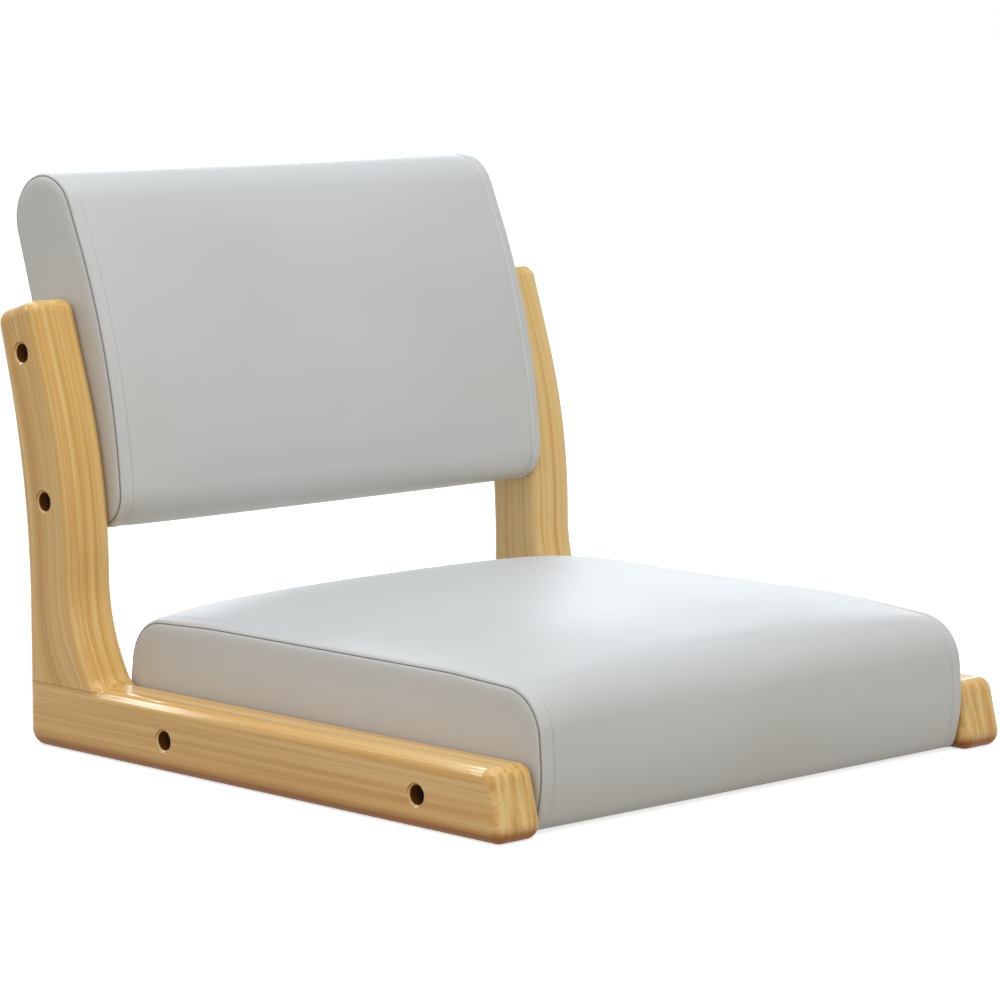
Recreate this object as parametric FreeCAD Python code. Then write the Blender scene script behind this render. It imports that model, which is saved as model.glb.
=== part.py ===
import FreeCAD, Part
import math
import os

V = FreeCAD.Vector

# Legless floor chair: two glued timber side frames, a seat pad and a back pad bolted between them.
# All sizes are in millimetres. X runs across the chair, Y from its front to its back, Z up.
# Until the last step, Y starts at the front toe of the side frames and Z at the floor.

# Side frames
overall_width = 480.0
timber_thickness = 38.0
rail_length = 472.4
rail_height = 47.0
toe_rake = 12.0
edge_round = 8.5
end_corner_radius = 10.0
heel_corner_radius = 12.0
upright_depth = 49.9
upright_height = 308.0
front_lean_deg = 18.4
back_lean_deg = 15.0
front_bend_height = 187.0
front_bend_radius = 400.0
back_bend_height = 176.4
back_bend_radius = 620.0
flare_height = 88.5
flare_lean_deg = 29.0
flare_radius = 120.0
foot_fillet_radius = 14.0
housing_depth = 2.0
housing_reach = 80.0

# Dowels in the glued corner of each side frame
dowel_diameter = 10.0
dowel_length = 50.0
dowel_in_rail = 22.0
dowel_setbacks = (17.0, 43.0)

# Bolts, washers and threaded inserts that hold the pads
bolt_diameter = 6.0
bolt_length = 40.0
bolt_head_diameter = 10.0
bolt_head_height = 6.0
hex_key_size = 5.0
hex_key_depth = 3.0
bolt_hole_clearance = 0.5
counterbore_diameter = 13.0
counterbore_depth = 15.0
rim_chamfer = 1.5
washer_diameter = 12.0
washer_thickness = 1.6
insert_diameter = 10.0
insert_length = 13.0
insert_hole_overrun = 3.0
thread_clearance = 0.05
seat_bolt_height = 22.0
seat_bolt_margins = (73.5, 86.0)
back_bolt_heights = (170.0, 270.0)

# Cover, foam and the small gaps between soft pieces and what they lie against
cover_thickness = 1.2
soft_gap = 0.3
seam_inset = 2.4
seam_groove = 1.8
seam_roll = 6.0
seam_overrun = 1.0
panel_roll = 12.0
crown_power = 5
least_radius = 2.0
arc_share = 0.995

# Seat pad, measured on its side seam
seat_front = 5.2
seat_rear_gap = 11.0
seat_floor_gap = 2.0
seat_seam_height = 94.9
seat_crown = 18.0
seat_bulge = 3.0
seat_hem_slope = 7.2
seat_face_slope = 4.3
seat_rear_slope = 7.3
seat_shoulder = 87.0
seat_shoulder_fall = 3.9
seat_rear_fall = 3.3
seat_shoulder_lift = 0.2
seat_waist_height = 32.0
seat_hem_radius = 10.0
seat_waist_radius = 90.0
seat_roll_radius = 33.0
seat_shoulder_radius = 330.0

# Seat frame, deck, underside cloth and staples
batten_width = 22.0
batten_height = 33.0
deck_thickness = 9.0
seat_foam_skirt = 18.0
hem_margin = 24.0
dust_cloth_thickness = 0.5
dust_cloth_margin = 9.0
staple_width = 10.0
staple_wire = 0.6
staple_leg = 7.0
staple_spacing = 50.0

# Back pad, measured on its side seam
back_height = 390.3
back_bottom = 149.4
back_thickness = 69.8
back_overhang = 8.9
back_front_foot_deg = 4.0
back_front_bend_height = 265.0
back_front_bend_radius = 555.0
back_front_lean_deg = 23.9
back_rear_bend_height = 234.4
back_rear_bend_radius = 560.0
back_rear_foot_deg = 6.4
back_top_thickness = 64.8
back_roll_radius = 32.0
back_roll_tilt_deg = 18.0
back_foot_radius = 27.0
back_crown = 5.0
back_rear_crown = 3.0

# Back frame
end_board_thickness = 18.0
end_board_inset = 14.0
board_thickness = 9.0
board_foot = 1.0
board_top = 187.0
cross_rail_thickness = 16.0
cross_rail_height = 34.0

# Countersunk wood screws
screw_diameter = 4.0
screw_head_diameter = 8.0
screw_head_height = 2.6
screw_clearance = 0.1
deck_screw_length = 30.0
corner_screw_length = 50.0
board_screw_length = 25.0
screw_edge_distance = 8.0
deck_screw_to_bolt = 22.0

# Sizes that follow from the ones above
outer_face = overall_width / 2
inner_face = outer_face - timber_thickness
pad_half_width = inner_face - soft_gap
seam_x = inner_face - seam_inset
panel_bulge = pad_half_width - seam_x
core_half_width = pad_half_width - cover_thickness - soft_gap
skin = cover_thickness + soft_gap
upright_front = rail_length - upright_depth
seat_rear = upright_front - seat_rear_gap
frame_front = seat_front + skin + seat_foam_skirt
frame_rear = seat_rear - skin - seat_foam_skirt
batten_bottom = seat_floor_gap + skin
deck_bottom = batten_bottom + batten_height
deck_top = deck_bottom + deck_thickness
joint_height = rail_height - housing_depth


def leaning(degrees):
    """Direction in the YZ plane that leans back from the vertical by this angle."""
    angle = math.radians(degrees)
    return (math.sin(angle), math.cos(angle))


def level(degrees):
    """Direction in the YZ plane that runs backward and falls by this angle."""
    angle = math.radians(degrees)
    return (math.cos(angle), -math.sin(angle))


def meet(p, along_p, q, along_q):
    """Point where the line through p meets the line through q."""
    cross = along_p[0] * along_q[1] - along_p[1] * along_q[0]
    t = ((q[0] - p[0]) * along_q[1] - (q[1] - p[1]) * along_q[0]) / cross
    return (p[0] + t * along_p[0], p[1] + t * along_p[1])


def height_on(p, along, z):
    """Y where the line through p reaches the height z."""
    return p[0] + along[0] * (z - p[1]) / along[1]


def direction(p, q):
    """Unit vector from p to q in the YZ plane."""
    length = math.hypot(q[0] - p[0], q[1] - p[1])
    return ((q[0] - p[0]) / length, (q[1] - p[1]) / length)


def fitted_radii(corners):
    """Radius of each corner, smaller than asked only where a side is too short for both its arcs."""
    count = len(corners)
    sides = [direction(corners[k][:2], corners[(k + 1) % count][:2]) for k in range(count)]
    reaches = []
    for k, (_, _, radius) in enumerate(corners):
        cosine = sides[k - 1][0] * sides[k][0] + sides[k - 1][1] * sides[k][1]
        turn = sides[k - 1][0] * sides[k][1] - sides[k - 1][1] * sides[k][0]
        reaches.append(radius * abs(turn) / (1 + cosine))
    limits = [1.0] * count
    for k in range(count):
        after = (k + 1) % count
        room = arc_share * math.dist(corners[k][:2], corners[after][:2])
        share = room / (reaches[k] + reaches[after])
        limits[k] = min(limits[k], share)
        limits[after] = min(limits[after], share)
    return [limit * corner[2] for limit, corner in zip(limits, corners)]


def rounded_arcs(corners, inset=0.0):
    """Start, middle and end of the arc that rounds each corner of a closed outline.

    corners are (y, z, radius), up the front, over the top and down the back.
    Every side moves inward by inset, and the arcs keep their centres where room is left for them.
    """
    arcs = []
    radii = fitted_radii(corners)
    for k, (y, z, _) in enumerate(corners):
        before = direction(corners[k - 1], (y, z))
        after = direction((y, z), corners[(k + 1) % len(corners)])
        inward = ((before[1] + after[1]), -(before[0] + after[0]))
        cosine = before[0] * after[0] + before[1] * after[1]
        turn = before[0] * after[1] - before[1] * after[0]
        outside = -1 if turn > 0 else 1
        r = max(least_radius, radii[k] - inset * outside)
        reach = r * abs(turn) / (1 + cosine)
        tip = (y + inset * inward[0] / (1 + cosine), z + inset * inward[1] / (1 + cosine))
        start = (tip[0] - before[0] * reach, tip[1] - before[1] * reach)
        end = (tip[0] + after[0] * reach, tip[1] + after[1] * reach)
        centre = (start[0] + before[1] * r * outside, start[1] - before[0] * r * outside)
        toward = direction(centre, tip)
        arcs.append((start, (centre[0] + r * toward[0], centre[1] + r * toward[1]), end))
    return arcs


def outline_wire(corners, x, inset=0.0):
    """Closed wire of arcs and straight sides in the plane at x."""
    arcs = rounded_arcs(corners, inset)
    edges = []
    for k, (start, middle, end) in enumerate(arcs):
        following = arcs[(k + 1) % len(arcs)][0]
        edges.append(Part.Arc(V(x, *start), V(x, *middle), V(x, *end)).toShape())
        edges.append(Part.LineSegment(V(x, *end), V(x, *following)).toShape())
    return Part.Wire(edges)


def plate(corners, x_from, x_to, inset=0.0):
    """Solid with this outline between two planes across X."""
    face = Part.Face(outline_wire(corners, x_from, inset))
    return face.extrude(V(x_to - x_from, 0, 0))


def block(x, y, z):
    """Box between two limits along each axis."""
    return Part.makeBox(x[1] - x[0], y[1] - y[0], z[1] - z[0], V(x[0], y[0], z[0]))


def rod(diameter, start, toward, length):
    """Round bar from a point."""
    return Part.makeCylinder(diameter / 2, length, start, toward)


def mirrored(shape):
    """The same piece on the other side of the chair."""
    return shape.mirror(V(0, 0, 0), V(1, 0, 0))


def both_sides(shapes):
    """Left-hand pieces and their right-hand twins."""
    return shapes + [mirrored(shape) for shape in shapes]


# Side frames

def frame_corners():
    """Outline of one side frame: rail, flared foot, upright and its square-cut top."""
    front_lean = leaning(front_lean_deg)
    back_lean = leaning(back_lean_deg)
    flare = (upright_front, flare_height)
    front_bend = (upright_front, front_bend_height)
    back_bend = (rail_length, back_bend_height)
    foot = (height_on(flare, leaning(flare_lean_deg), rail_height), rail_height)
    top_front = (height_on(front_bend, front_lean, upright_height), upright_height)
    cut = level((front_lean_deg + back_lean_deg) / 2)
    top_back = meet(top_front, cut, back_bend, back_lean)
    return [
        (0.0, 0.0, end_corner_radius),
        (toe_rake, rail_height, end_corner_radius),
        (*foot, foot_fillet_radius),
        (*flare, flare_radius),
        (*front_bend, front_bend_radius),
        (*top_front, end_corner_radius),
        (*top_back, end_corner_radius),
        (*back_bend, back_bend_radius),
        (rail_length, 0.0, heel_corner_radius),
    ]


def left_frame_blank():
    """The whole left frame before it is divided at the glue joint, all long edges rounded."""
    blank = plate(frame_corners(), -outer_face, -inner_face)
    rounded = [edge for edge in blank.Edges if edge.BoundBox.XLength < edge_round]
    return blank.makeFillet(edge_round, rounded)


def upright_middle(z):
    """Y halfway between the faces of the upright at the height z."""
    section = plate(frame_corners(), 0, 1).common(block((-1, 2), (0, 2 * rail_length), (z, z + 0.01)))
    return (section.BoundBox.YMin + section.BoundBox.YMax) / 2


def joint_zone():
    """Space of the upright above and behind its housing in the rail."""
    start = rail_length - housing_reach
    return block((-outer_face - 1, -inner_face + 1), (start, 2 * rail_length), (joint_height, 2 * upright_height))


def dowel(setback, radial_gap=0.0, end_gap=0.0):
    """Upright dowel through the glue joint, or its hole where gaps are given."""
    foot = V(-(outer_face + inner_face) / 2, rail_length - setback, joint_height - dowel_in_rail - end_gap)
    return rod(dowel_diameter + 2 * radial_gap, foot, V(0, 0, 1), dowel_length + 2 * end_gap)


# Bolts

def bolt_points(pad):
    """Bolt axes of a pad as (y, z)."""
    if pad == "seat":
        front, rear = seat_bolt_margins
        return [(seat_front + front, seat_bolt_height), (seat_rear - rear, seat_bolt_height)]
    return [(upright_middle(z), z) for z in back_bolt_heights]


def counterbored_hole(y, z):
    """Recess for the bolt's head, its softened rim and the clearance hole behind it, on the left."""
    face = V(-outer_face, y, z)
    radius = counterbore_diameter / 2
    rim = Part.makeCone(radius + rim_chamfer, radius, rim_chamfer, face, V(1, 0, 0))
    recess = rod(counterbore_diameter, face, V(1, 0, 0), counterbore_depth)
    through = rod(bolt_diameter + 2 * bolt_hole_clearance, face, V(1, 0, 0), timber_thickness)
    return rim.fuse([recess, through])


def washer(y, z):
    """Flat washer on the floor of the left recess."""
    seat = V(-outer_face + counterbore_depth - washer_thickness, y, z)
    disc = rod(washer_diameter, seat, V(1, 0, 0), washer_thickness)
    return disc.cut(rod(bolt_diameter + bolt_hole_clearance, seat, V(1, 0, 0), washer_thickness))


def bolt(y, z):
    """Hexagon socket bolt through the left frame, its head on the washer."""
    under_head = V(-outer_face + counterbore_depth - washer_thickness, y, z)
    top = under_head - V(bolt_head_height, 0, 0)
    head = rod(bolt_head_diameter, top, V(1, 0, 0), bolt_head_height)
    shank = rod(bolt_diameter, under_head, V(1, 0, 0), bolt_length)
    across_corners = hex_key_size / math.cos(math.radians(30))
    turns = [math.radians(60 * k) for k in range(7)]
    hexagon = [V(top.x, y + across_corners / 2 * math.cos(a), z + across_corners / 2 * math.sin(a)) for a in turns]
    socket = Part.Face(Part.makePolygon(hexagon)).extrude(V(hex_key_depth, 0, 0))
    return head.fuse(shank).cut(socket)


def threaded_insert(y, z):
    """Steel insert flush with the left end of a pad's timber core."""
    mouth = V(-core_half_width, y, z)
    body = rod(insert_diameter, mouth, V(1, 0, 0), insert_length)
    return body.cut(rod(bolt_diameter + 2 * thread_clearance, mouth, V(1, 0, 0), insert_length))


def insert_hole(y, z):
    """Hole in the timber core for the insert and the tip of its bolt, on the left."""
    mouth = V(-core_half_width, y, z)
    seat = rod(insert_diameter, mouth, V(1, 0, 0), insert_length)
    return seat.fuse(rod(bolt_diameter + 1, mouth, V(1, 0, 0), insert_length + insert_hole_overrun))


def panel_hole(y, z):
    """Hole in the left side panel of a pad's cover where a bolt passes."""
    return rod(bolt_diameter + 2, V(-inner_face, y, z), V(1, 0, 0), 2 * panel_bulge)


# Wood screws

def screw(head, toward, length, gap=0.0):
    """Countersunk screw with its head flush at a point, or its hole where a gap is given."""
    cone = Part.makeCone(screw_head_diameter / 2 + gap, screw_diameter / 2 + gap, screw_head_height, head, toward)
    return cone.fuse(rod(screw_diameter + 2 * gap, head, toward, length + gap))


def drilled(piece, screws):
    """A piece with the holes of its screws, each screw given as (head, toward, length)."""
    return piece.cut([screw(*one, gap=screw_clearance) for one in screws])


# Cushions. A profile gives a cushion's outline from its crown, 0 at the side seams and 1 midway
# between them, and from how far it is sunk there.

def seat_profile(crown, sunk=0.0):
    """Corners of the seat pad's outline, from the front hem over the top to the rear hem."""
    front = seat_front - seat_bulge * crown
    rear = seat_rear + seat_bulge * crown
    top = seat_seam_height + seat_crown * crown
    shoulder_rise = seat_crown * seat_shoulder_lift * crown
    front_top = seat_seam_height - seat_shoulder_fall + shoulder_rise
    rear_top = seat_seam_height - seat_rear_fall + shoulder_rise
    # The hem lies flat on the battens, so the sinking is given back there.
    hem = seat_floor_gap - sunk
    return [
        (seat_front + seat_hem_slope, hem, seat_hem_radius),
        (front, seat_waist_height, seat_waist_radius),
        (front + seat_face_slope, front_top, seat_roll_radius),
        (seat_front + seat_shoulder, top, seat_shoulder_radius),
        (seat_rear - seat_shoulder, top, seat_shoulder_radius),
        (rear - seat_rear_slope, rear_top, seat_roll_radius),
        (rear, seat_waist_height, seat_waist_radius),
        (seat_rear - seat_face_slope, hem, seat_hem_radius),
    ]


def back_profile(crown, sunk=0.0):
    """Corners of the back pad's outline: lumbar front, rolled top, hollow back and rounded foot."""
    front_foot = upright_front - back_overhang
    front_face = front_foot - back_crown * crown
    rear_foot = front_foot + back_thickness
    rear_bend = height_on((rear_foot, back_bottom), leaning(back_rear_foot_deg), back_rear_bend_height)
    foot_lean = leaning(back_front_foot_deg)
    bend_of_seam = height_on((front_foot, back_bottom), foot_lean, back_front_bend_height)
    bend_front = (bend_of_seam - back_crown * crown, back_front_bend_height)
    bend_rear = (rear_bend + back_rear_crown * crown, back_rear_bend_height)
    front_lean = leaning(back_front_lean_deg)
    top_of_seam = height_on((bend_of_seam, back_front_bend_height), front_lean, back_height)
    rear_lean = direction((rear_bend, back_rear_bend_height), (top_of_seam + back_top_thickness, back_height))
    tilt = level(back_roll_tilt_deg)
    touch_z = back_height - back_roll_radius * (1 - front_lean[0])
    touch_y = height_on(bend_front, front_lean, touch_z)
    # The top line is the tangent of the front roll, whose highest point is at the pad's full height.
    crest = (touch_y + back_roll_radius * (front_lean[1] - tilt[1]),
             back_height - back_roll_radius * (1 - tilt[0]))
    top_front = meet(bend_front, front_lean, crest, tilt)
    top_rear = meet(bend_rear, rear_lean, crest, tilt)
    return [
        (front_face, back_bottom, back_foot_radius),
        (*bend_front, back_front_bend_radius),
        (*top_front, back_roll_radius),
        (*top_rear, back_roll_radius),
        (*bend_rear, back_rear_bend_radius),
        (rear_foot, back_bottom, back_foot_radius),
    ]


def section(profile, x, inset, sunk=0.0):
    """Wire of a cushion's outline at x, with its sides moved inward by inset and sunk."""
    crown = 1 - min(1.0, abs(x) / seam_x) ** crown_power
    return outline_wire(profile(crown, sunk), x, inset + sunk)


def wrap_form(profile, inset, half_width):
    """Solid form of a cushion's middle, rolled in towards each side seam and cut off at a half width."""
    rolled = [(seam_x - seam_roll * (1 - share), seam_groove * share ** 2) for share in (0.0, 0.5)]
    half = [(0.0, 0.0), (0.32 * seam_x, 0.0), (0.58 * seam_x, 0.0), (0.78 * seam_x, 0.0), (0.9 * seam_x, 0.0)]
    half += rolled + [(seam_x + seam_overrun, seam_groove)]
    stations = [(-x, sunk) for x, sunk in reversed(half[1:])] + half
    form = Part.makeLoft([section(profile, x, inset, sunk) for x, sunk in stations], True, False)
    everywhere = (-2 * overall_width, 2 * overall_width)
    return form.common(block((-half_width, half_width), everywhere, everywhere))


def panel_form(profile, inset):
    """Solid form of the left side panel, which swells from the seam to a flat beside the timber."""
    sections = []
    for share in (0.0, 0.35, 0.7, 1.0):
        sunk = seam_groove + share * panel_roll
        x = -seam_x - panel_bulge * math.sin(share * math.pi / 2) + inset
        sections.append(outline_wire(profile(0.0, sunk), x, inset + sunk))
    return Part.makeLoft(sections, True, False)


def wrap_cover(profile):
    """Strip of cover round the front, top and back of a cushion."""
    return wrap_form(profile, 0.0, seam_x).cut(wrap_form(profile, cover_thickness, seam_x + seam_overrun))


def side_panel(profile, bolts):
    """Left side panel of a cushion's cover, with its bolt holes."""
    shell = panel_form(profile, 0.0).cut(panel_form(profile, cover_thickness))
    return shell.cut([panel_hole(*point) for point in bolts])


def foam_form(profile):
    """Solid form of a cushion's foam, a small gap inside the cover and cut square at the side seams."""
    return wrap_form(profile, skin, seam_x - skin)


# Seat pad

def seat_screws():
    """Wood screws of the seat frame as (head, toward, length): through the deck, then at the corners."""
    rail_mid = core_half_width - batten_width / 2
    front_mid = frame_front + batten_width / 2
    rear_mid = frame_rear - batten_width / 2
    front_bolt, rear_bolt = [y for y, z in bolt_points("seat")]
    beside_bolts = (front_bolt - deck_screw_to_bolt, (front_bolt + rear_bolt) / 2, rear_bolt + deck_screw_to_bolt)
    down = V(0, 0, -1)
    deck = [(V(side * rail_mid, y, deck_top), down, deck_screw_length) for side in (-1, 1) for y in beside_bolts]
    deck += [(V(side * rail_mid / 2, y, deck_top), down, deck_screw_length)
             for side in (-1, 1) for y in (front_mid, rear_mid)]
    corner = [(V(-side * core_half_width, y, z), V(side, 0, 0), corner_screw_length)
              for side in (-1, 1) for y in (front_mid, rear_mid)
              for z in (batten_bottom + screw_edge_distance, deck_bottom - screw_edge_distance)]
    return deck, corner


def staple_places():
    """Places of the staples on the undersides of the battens as (x, y, turned)."""
    side_x = core_half_width - batten_width / 2
    front_y = frame_front + batten_width / 2
    rear_y = frame_rear - batten_width / 2
    across = int((side_x - staple_spacing / 2) / staple_spacing)
    along = int((rear_y - front_y - staple_spacing) / staple_spacing)
    first = (front_y + rear_y - (along - 1) * staple_spacing) / 2
    places = [(k * staple_spacing, y, False) for k in range(-across, across + 1) for y in (front_y, rear_y)]
    places += [(side * side_x, first + k * staple_spacing, True) for k in range(along) for side in (-1, 1)]
    return places


def staple(x, y, turned, gap=0.0):
    """Staple driven up through the hem into a batten, or the slots of its legs where a gap is given."""
    width = staple_width + 2 * gap
    wire = staple_wire + 2 * gap
    legs = [
        block((start, start + wire), (-wire / 2, wire / 2), (0, staple_leg + gap))
        for start in (-width / 2, width / 2 - wire)
    ]
    shape = legs[0].fuse(legs[1])
    if gap == 0:
        shape = shape.fuse(block((-width / 2, width / 2), (-wire / 2, wire / 2), (-staple_wire, 0)))
    if turned:
        shape = shape.rotate(V(0, 0, 0), V(0, 0, 1), 90)
    return shape.translate(V(x, y, seat_floor_gap))


def build_seat():
    """All pieces of the seat pad."""
    profile = seat_profile
    bolts = bolt_points("seat")
    deck_screws, corner_screws = seat_screws()
    inner_x = core_half_width - batten_width
    height = (batten_bottom, deck_bottom)
    slots = [staple(*place, gap=screw_clearance) for place in staple_places()]
    left = block((-core_half_width, -inner_x), (frame_front, frame_rear), height)
    holes = [insert_hole(*point) for point in bolts]
    front = block((-inner_x, inner_x), (frame_front, frame_front + batten_width), height)
    rear = block((-inner_x, inner_x), (frame_rear - batten_width, frame_rear), height)
    deck = block((-core_half_width, core_half_width), (frame_front, frame_rear), (deck_bottom, deck_top))
    all_screws = deck_screws + corner_screws
    hem_x = seam_x - hem_margin
    hem_y = (frame_front + hem_margin, frame_rear - hem_margin)
    hem_opening = block((-hem_x, hem_x), hem_y, (0, batten_bottom))
    cavity = block((-overall_width, overall_width), (frame_front - soft_gap, frame_rear + soft_gap),
                   (0, deck_top + soft_gap))
    cloth_top = seat_floor_gap - staple_wire - soft_gap
    cloth = block((-core_half_width + dust_cloth_margin, core_half_width - dust_cloth_margin),
                  (frame_front + dust_cloth_margin, frame_rear - dust_cloth_margin),
                  (cloth_top - dust_cloth_thickness, cloth_top))
    panel = side_panel(profile, bolts)
    return {
        "seat_left_batten": [drilled(left.cut(holes + slots), all_screws)],
        "seat_right_batten": [drilled(mirrored(left.cut(holes)).cut(slots), all_screws)],
        "seat_front_batten": [drilled(front.cut(slots), all_screws)],
        "seat_rear_batten": [drilled(rear.cut(slots), all_screws)],
        "seat_deck": [drilled(deck, deck_screws)],
        "seat_deck_screws": [screw(*one) for one in deck_screws],
        "seat_corner_screws": [screw(*one) for one in corner_screws],
        "seat_foam": [foam_form(profile).cut(cavity)],
        "seat_cover": [wrap_cover(profile).cut([hem_opening] + slots)],
        "seat_left_side_panel": [panel],
        "seat_right_side_panel": [mirrored(panel)],
        "seat_cover_staples": [staple(*place) for place in staple_places()],
        "seat_dust_cloth": [cloth],
        "seat_threaded_inserts": both_sides([threaded_insert(*point) for point in bolts]),
        "seat_bolts": both_sides([bolt(*point) for point in bolts]),
        "seat_bolt_washers": both_sides([washer(*point) for point in bolts]),
    }


# Back pad

class BoardAxes:
    """Directions of the flat board in the back pad, which stands on the line between its bolts."""

    def __init__(self):
        self.lower, upper = bolt_points("back")
        self.up = direction(self.lower, upper)
        self.back = (self.up[1], -self.up[0])

    def point(self, x, s, n):
        """Point at x, s along the board from its lower bolt and n behind its middle."""
        return V(x, self.lower[0] + s * self.up[0] + n * self.back[0],
                 self.lower[1] + s * self.up[1] + n * self.back[1])

    def bar(self, x, s, n):
        """Straight bar between limits across, along and behind the board."""
        ring = [self.point(x[0], s[a], n[b]) for a, b in ((0, 0), (1, 0), (1, 1), (0, 1), (0, 0))]
        return Part.Face(Part.makePolygon(ring)).extrude(V(x[1] - x[0], 0, 0))


def grown(limits, gap):
    """Limits widened by a gap at both ends."""
    return (limits[0] - gap, limits[1] + gap)


def back_screws(axes, rails, inner_x):
    """Wood screws of the back frame as (head, toward, length): through the board, then the end boards."""
    front = -board_thickness / 2
    behind = V(0, *axes.back)
    centre = (board_thickness + cross_rail_thickness) / 2
    board = [(axes.point(share * inner_x, sum(rail) / 2, front), behind, board_screw_length)
             for rail in rails for share in (-0.65, 0.0, 0.65)]
    ends = [(axes.point(-side * core_half_width, s, centre), V(side, 0, 0), corner_screw_length)
            for side in (-1, 1) for rail in rails
            for s in (rail[0] + screw_edge_distance, rail[1] - screw_edge_distance)]
    return board, ends


def build_back():
    """All pieces of the back pad."""
    profile = back_profile
    bolts = bolt_points("back")
    seam_corners = profile(0.0)
    axes = BoardAxes()
    inner_x = core_half_width - end_board_thickness
    across = (-inner_x, inner_x)
    board_span = (-board_foot, board_top)
    board_n = (-board_thickness / 2, board_thickness / 2)
    rail_n = (board_thickness / 2, board_thickness / 2 + cross_rail_thickness)
    rails = [(-board_foot, cross_rail_height - board_foot), (board_top - cross_rail_height, board_top)]
    board_screws, end_screws = back_screws(axes, rails, inner_x)
    end_board = plate(seam_corners, -core_half_width, -inner_x, end_board_inset)
    end_board = end_board.cut([insert_hole(*point) for point in bolts])
    board = axes.bar(across, board_span, board_n)
    bottom_rail, top_rail = [axes.bar(across, rail, rail_n) for rail in rails]
    end_cavity = plate(seam_corners, -2 * core_half_width, -inner_x + soft_gap, end_board_inset - soft_gap)
    inner_cavities = [axes.bar(across, grown(board_span, soft_gap), grown(board_n, soft_gap))]
    inner_cavities += [axes.bar(across, grown(rail, soft_gap), grown(rail_n, soft_gap)) for rail in rails]
    foam = foam_form(profile).cut(both_sides([end_cavity]) + inner_cavities)
    panel = side_panel(profile, bolts)
    return {
        "back_left_end_board": [drilled(end_board, end_screws)],
        "back_right_end_board": [drilled(mirrored(end_board), end_screws)],
        "back_board": [drilled(board, board_screws)],
        "back_bottom_rail": [drilled(bottom_rail, board_screws + end_screws)],
        "back_top_rail": [drilled(top_rail, board_screws + end_screws)],
        "back_board_screws": [screw(*one) for one in board_screws],
        "back_end_screws": [screw(*one) for one in end_screws],
        "back_foam": [foam],
        "back_cover": [wrap_cover(profile)],
        "back_left_side_panel": [panel],
        "back_right_side_panel": [mirrored(panel)],
        "back_threaded_inserts": both_sides([threaded_insert(*point) for point in bolts]),
        "back_bolts": both_sides([bolt(*point) for point in bolts]),
        "back_bolt_washers": both_sides([washer(*point) for point in bolts]),
    }


def build_frames():
    """Uprights, base rails and corner dowels."""
    holes = [counterbored_hole(*point) for pad in ("seat", "back") for point in bolt_points(pad)]
    holes += [dowel(setback, screw_clearance, 1.0) for setback in dowel_setbacks]
    blank = left_frame_blank().cut(holes)
    upright = blank.common(joint_zone())
    rail = blank.cut(joint_zone())
    return {
        "left_upright": [upright],
        "right_upright": [mirrored(upright)],
        "left_base_rail": [rail],
        "right_base_rail": [mirrored(rail)],
        "corner_dowels": both_sides([dowel(setback) for setback in dowel_setbacks]),
    }


def main():
    """Builds every piece, moves the origin to the middle of the footprint and writes the files."""
    os.makedirs("parts", exist_ok=True)
    pieces = {**build_frames(), **build_seat(), **build_back()}
    front_most = outline_wire(frame_corners(), 0.0).BoundBox.YMin
    rear_most = section(back_profile, 0.0, 0.0).BoundBox.YMax
    to_origin = V(0, -(front_most + rear_most) / 2, 0)
    for name, shapes in pieces.items():
        solids = [solid for shape in shapes for solid in shape.Solids]
        whole = solids[0] if len(solids) == 1 else Part.makeCompound(solids)
        whole.translate(to_origin)
        whole.exportStep(f"parts/{name}.step")
        print(name, len(solids), "valid" if whole.isValid() else "NOT VALID", round(whole.Volume, 1))
    print("footprint from", round(front_most, 2), "to", round(rear_most, 2))


main()
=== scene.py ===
import logging
import math
from collections.abc import Callable, Sequence
from dataclasses import dataclass, field
from enum import Enum
from typing import Any

import bpy
import numpy as np
from mathutils import Matrix, Vector
from mathutils.kdtree import KDTree


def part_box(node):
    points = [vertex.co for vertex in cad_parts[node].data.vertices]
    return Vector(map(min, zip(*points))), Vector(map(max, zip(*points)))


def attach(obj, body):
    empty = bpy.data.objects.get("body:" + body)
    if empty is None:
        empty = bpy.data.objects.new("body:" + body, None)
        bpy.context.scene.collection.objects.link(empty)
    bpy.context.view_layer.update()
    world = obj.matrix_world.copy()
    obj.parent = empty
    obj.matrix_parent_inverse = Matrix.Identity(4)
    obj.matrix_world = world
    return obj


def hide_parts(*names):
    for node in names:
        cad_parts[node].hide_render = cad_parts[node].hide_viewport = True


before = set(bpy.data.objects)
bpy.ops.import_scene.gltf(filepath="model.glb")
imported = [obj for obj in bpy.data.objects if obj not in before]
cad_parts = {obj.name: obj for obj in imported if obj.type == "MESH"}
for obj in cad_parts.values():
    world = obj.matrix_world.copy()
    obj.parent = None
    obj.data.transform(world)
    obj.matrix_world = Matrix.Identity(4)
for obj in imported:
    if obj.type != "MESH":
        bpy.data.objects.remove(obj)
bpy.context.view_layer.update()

# Looks of a legless floor chair: two lacquered softwood side frames with a seat pad and a back pad
# bolted between them. Sizes are in millimetres where a name or comment doesn't say otherwise, and
# meshes are in metres. Inside the chair's classes, Y starts at the front toe of the side frames.

BODY = "root"
MM = 0.001
RAIL_LENGTH = 472.4
# Keeps a number that something is divided by from being zero.
TINY = 1e-9
# Numbers of the sockets of a Mix node that blends two colours.
SHARE, FIRST, SECOND, BLENDED = 0, 6, 7, 2

Tree = bpy.types.NodeTree
Socket = bpy.types.NodeSocket
Colour = tuple[float, float, float, float]
Levels = tuple[tuple[float, float], ...]
Faces = list[tuple[int, ...]]

logging.basicConfig(level=logging.INFO, format="%(message)s")
log = logging.getLogger("floor_chair")


class Side(Enum):
    """Side of the chair as seen from its front."""

    LEFT = -1
    RIGHT = 1

    @property
    def word(self) -> str:
        """Name of the side as used in piece names."""
        return self.name.lower()


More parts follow.
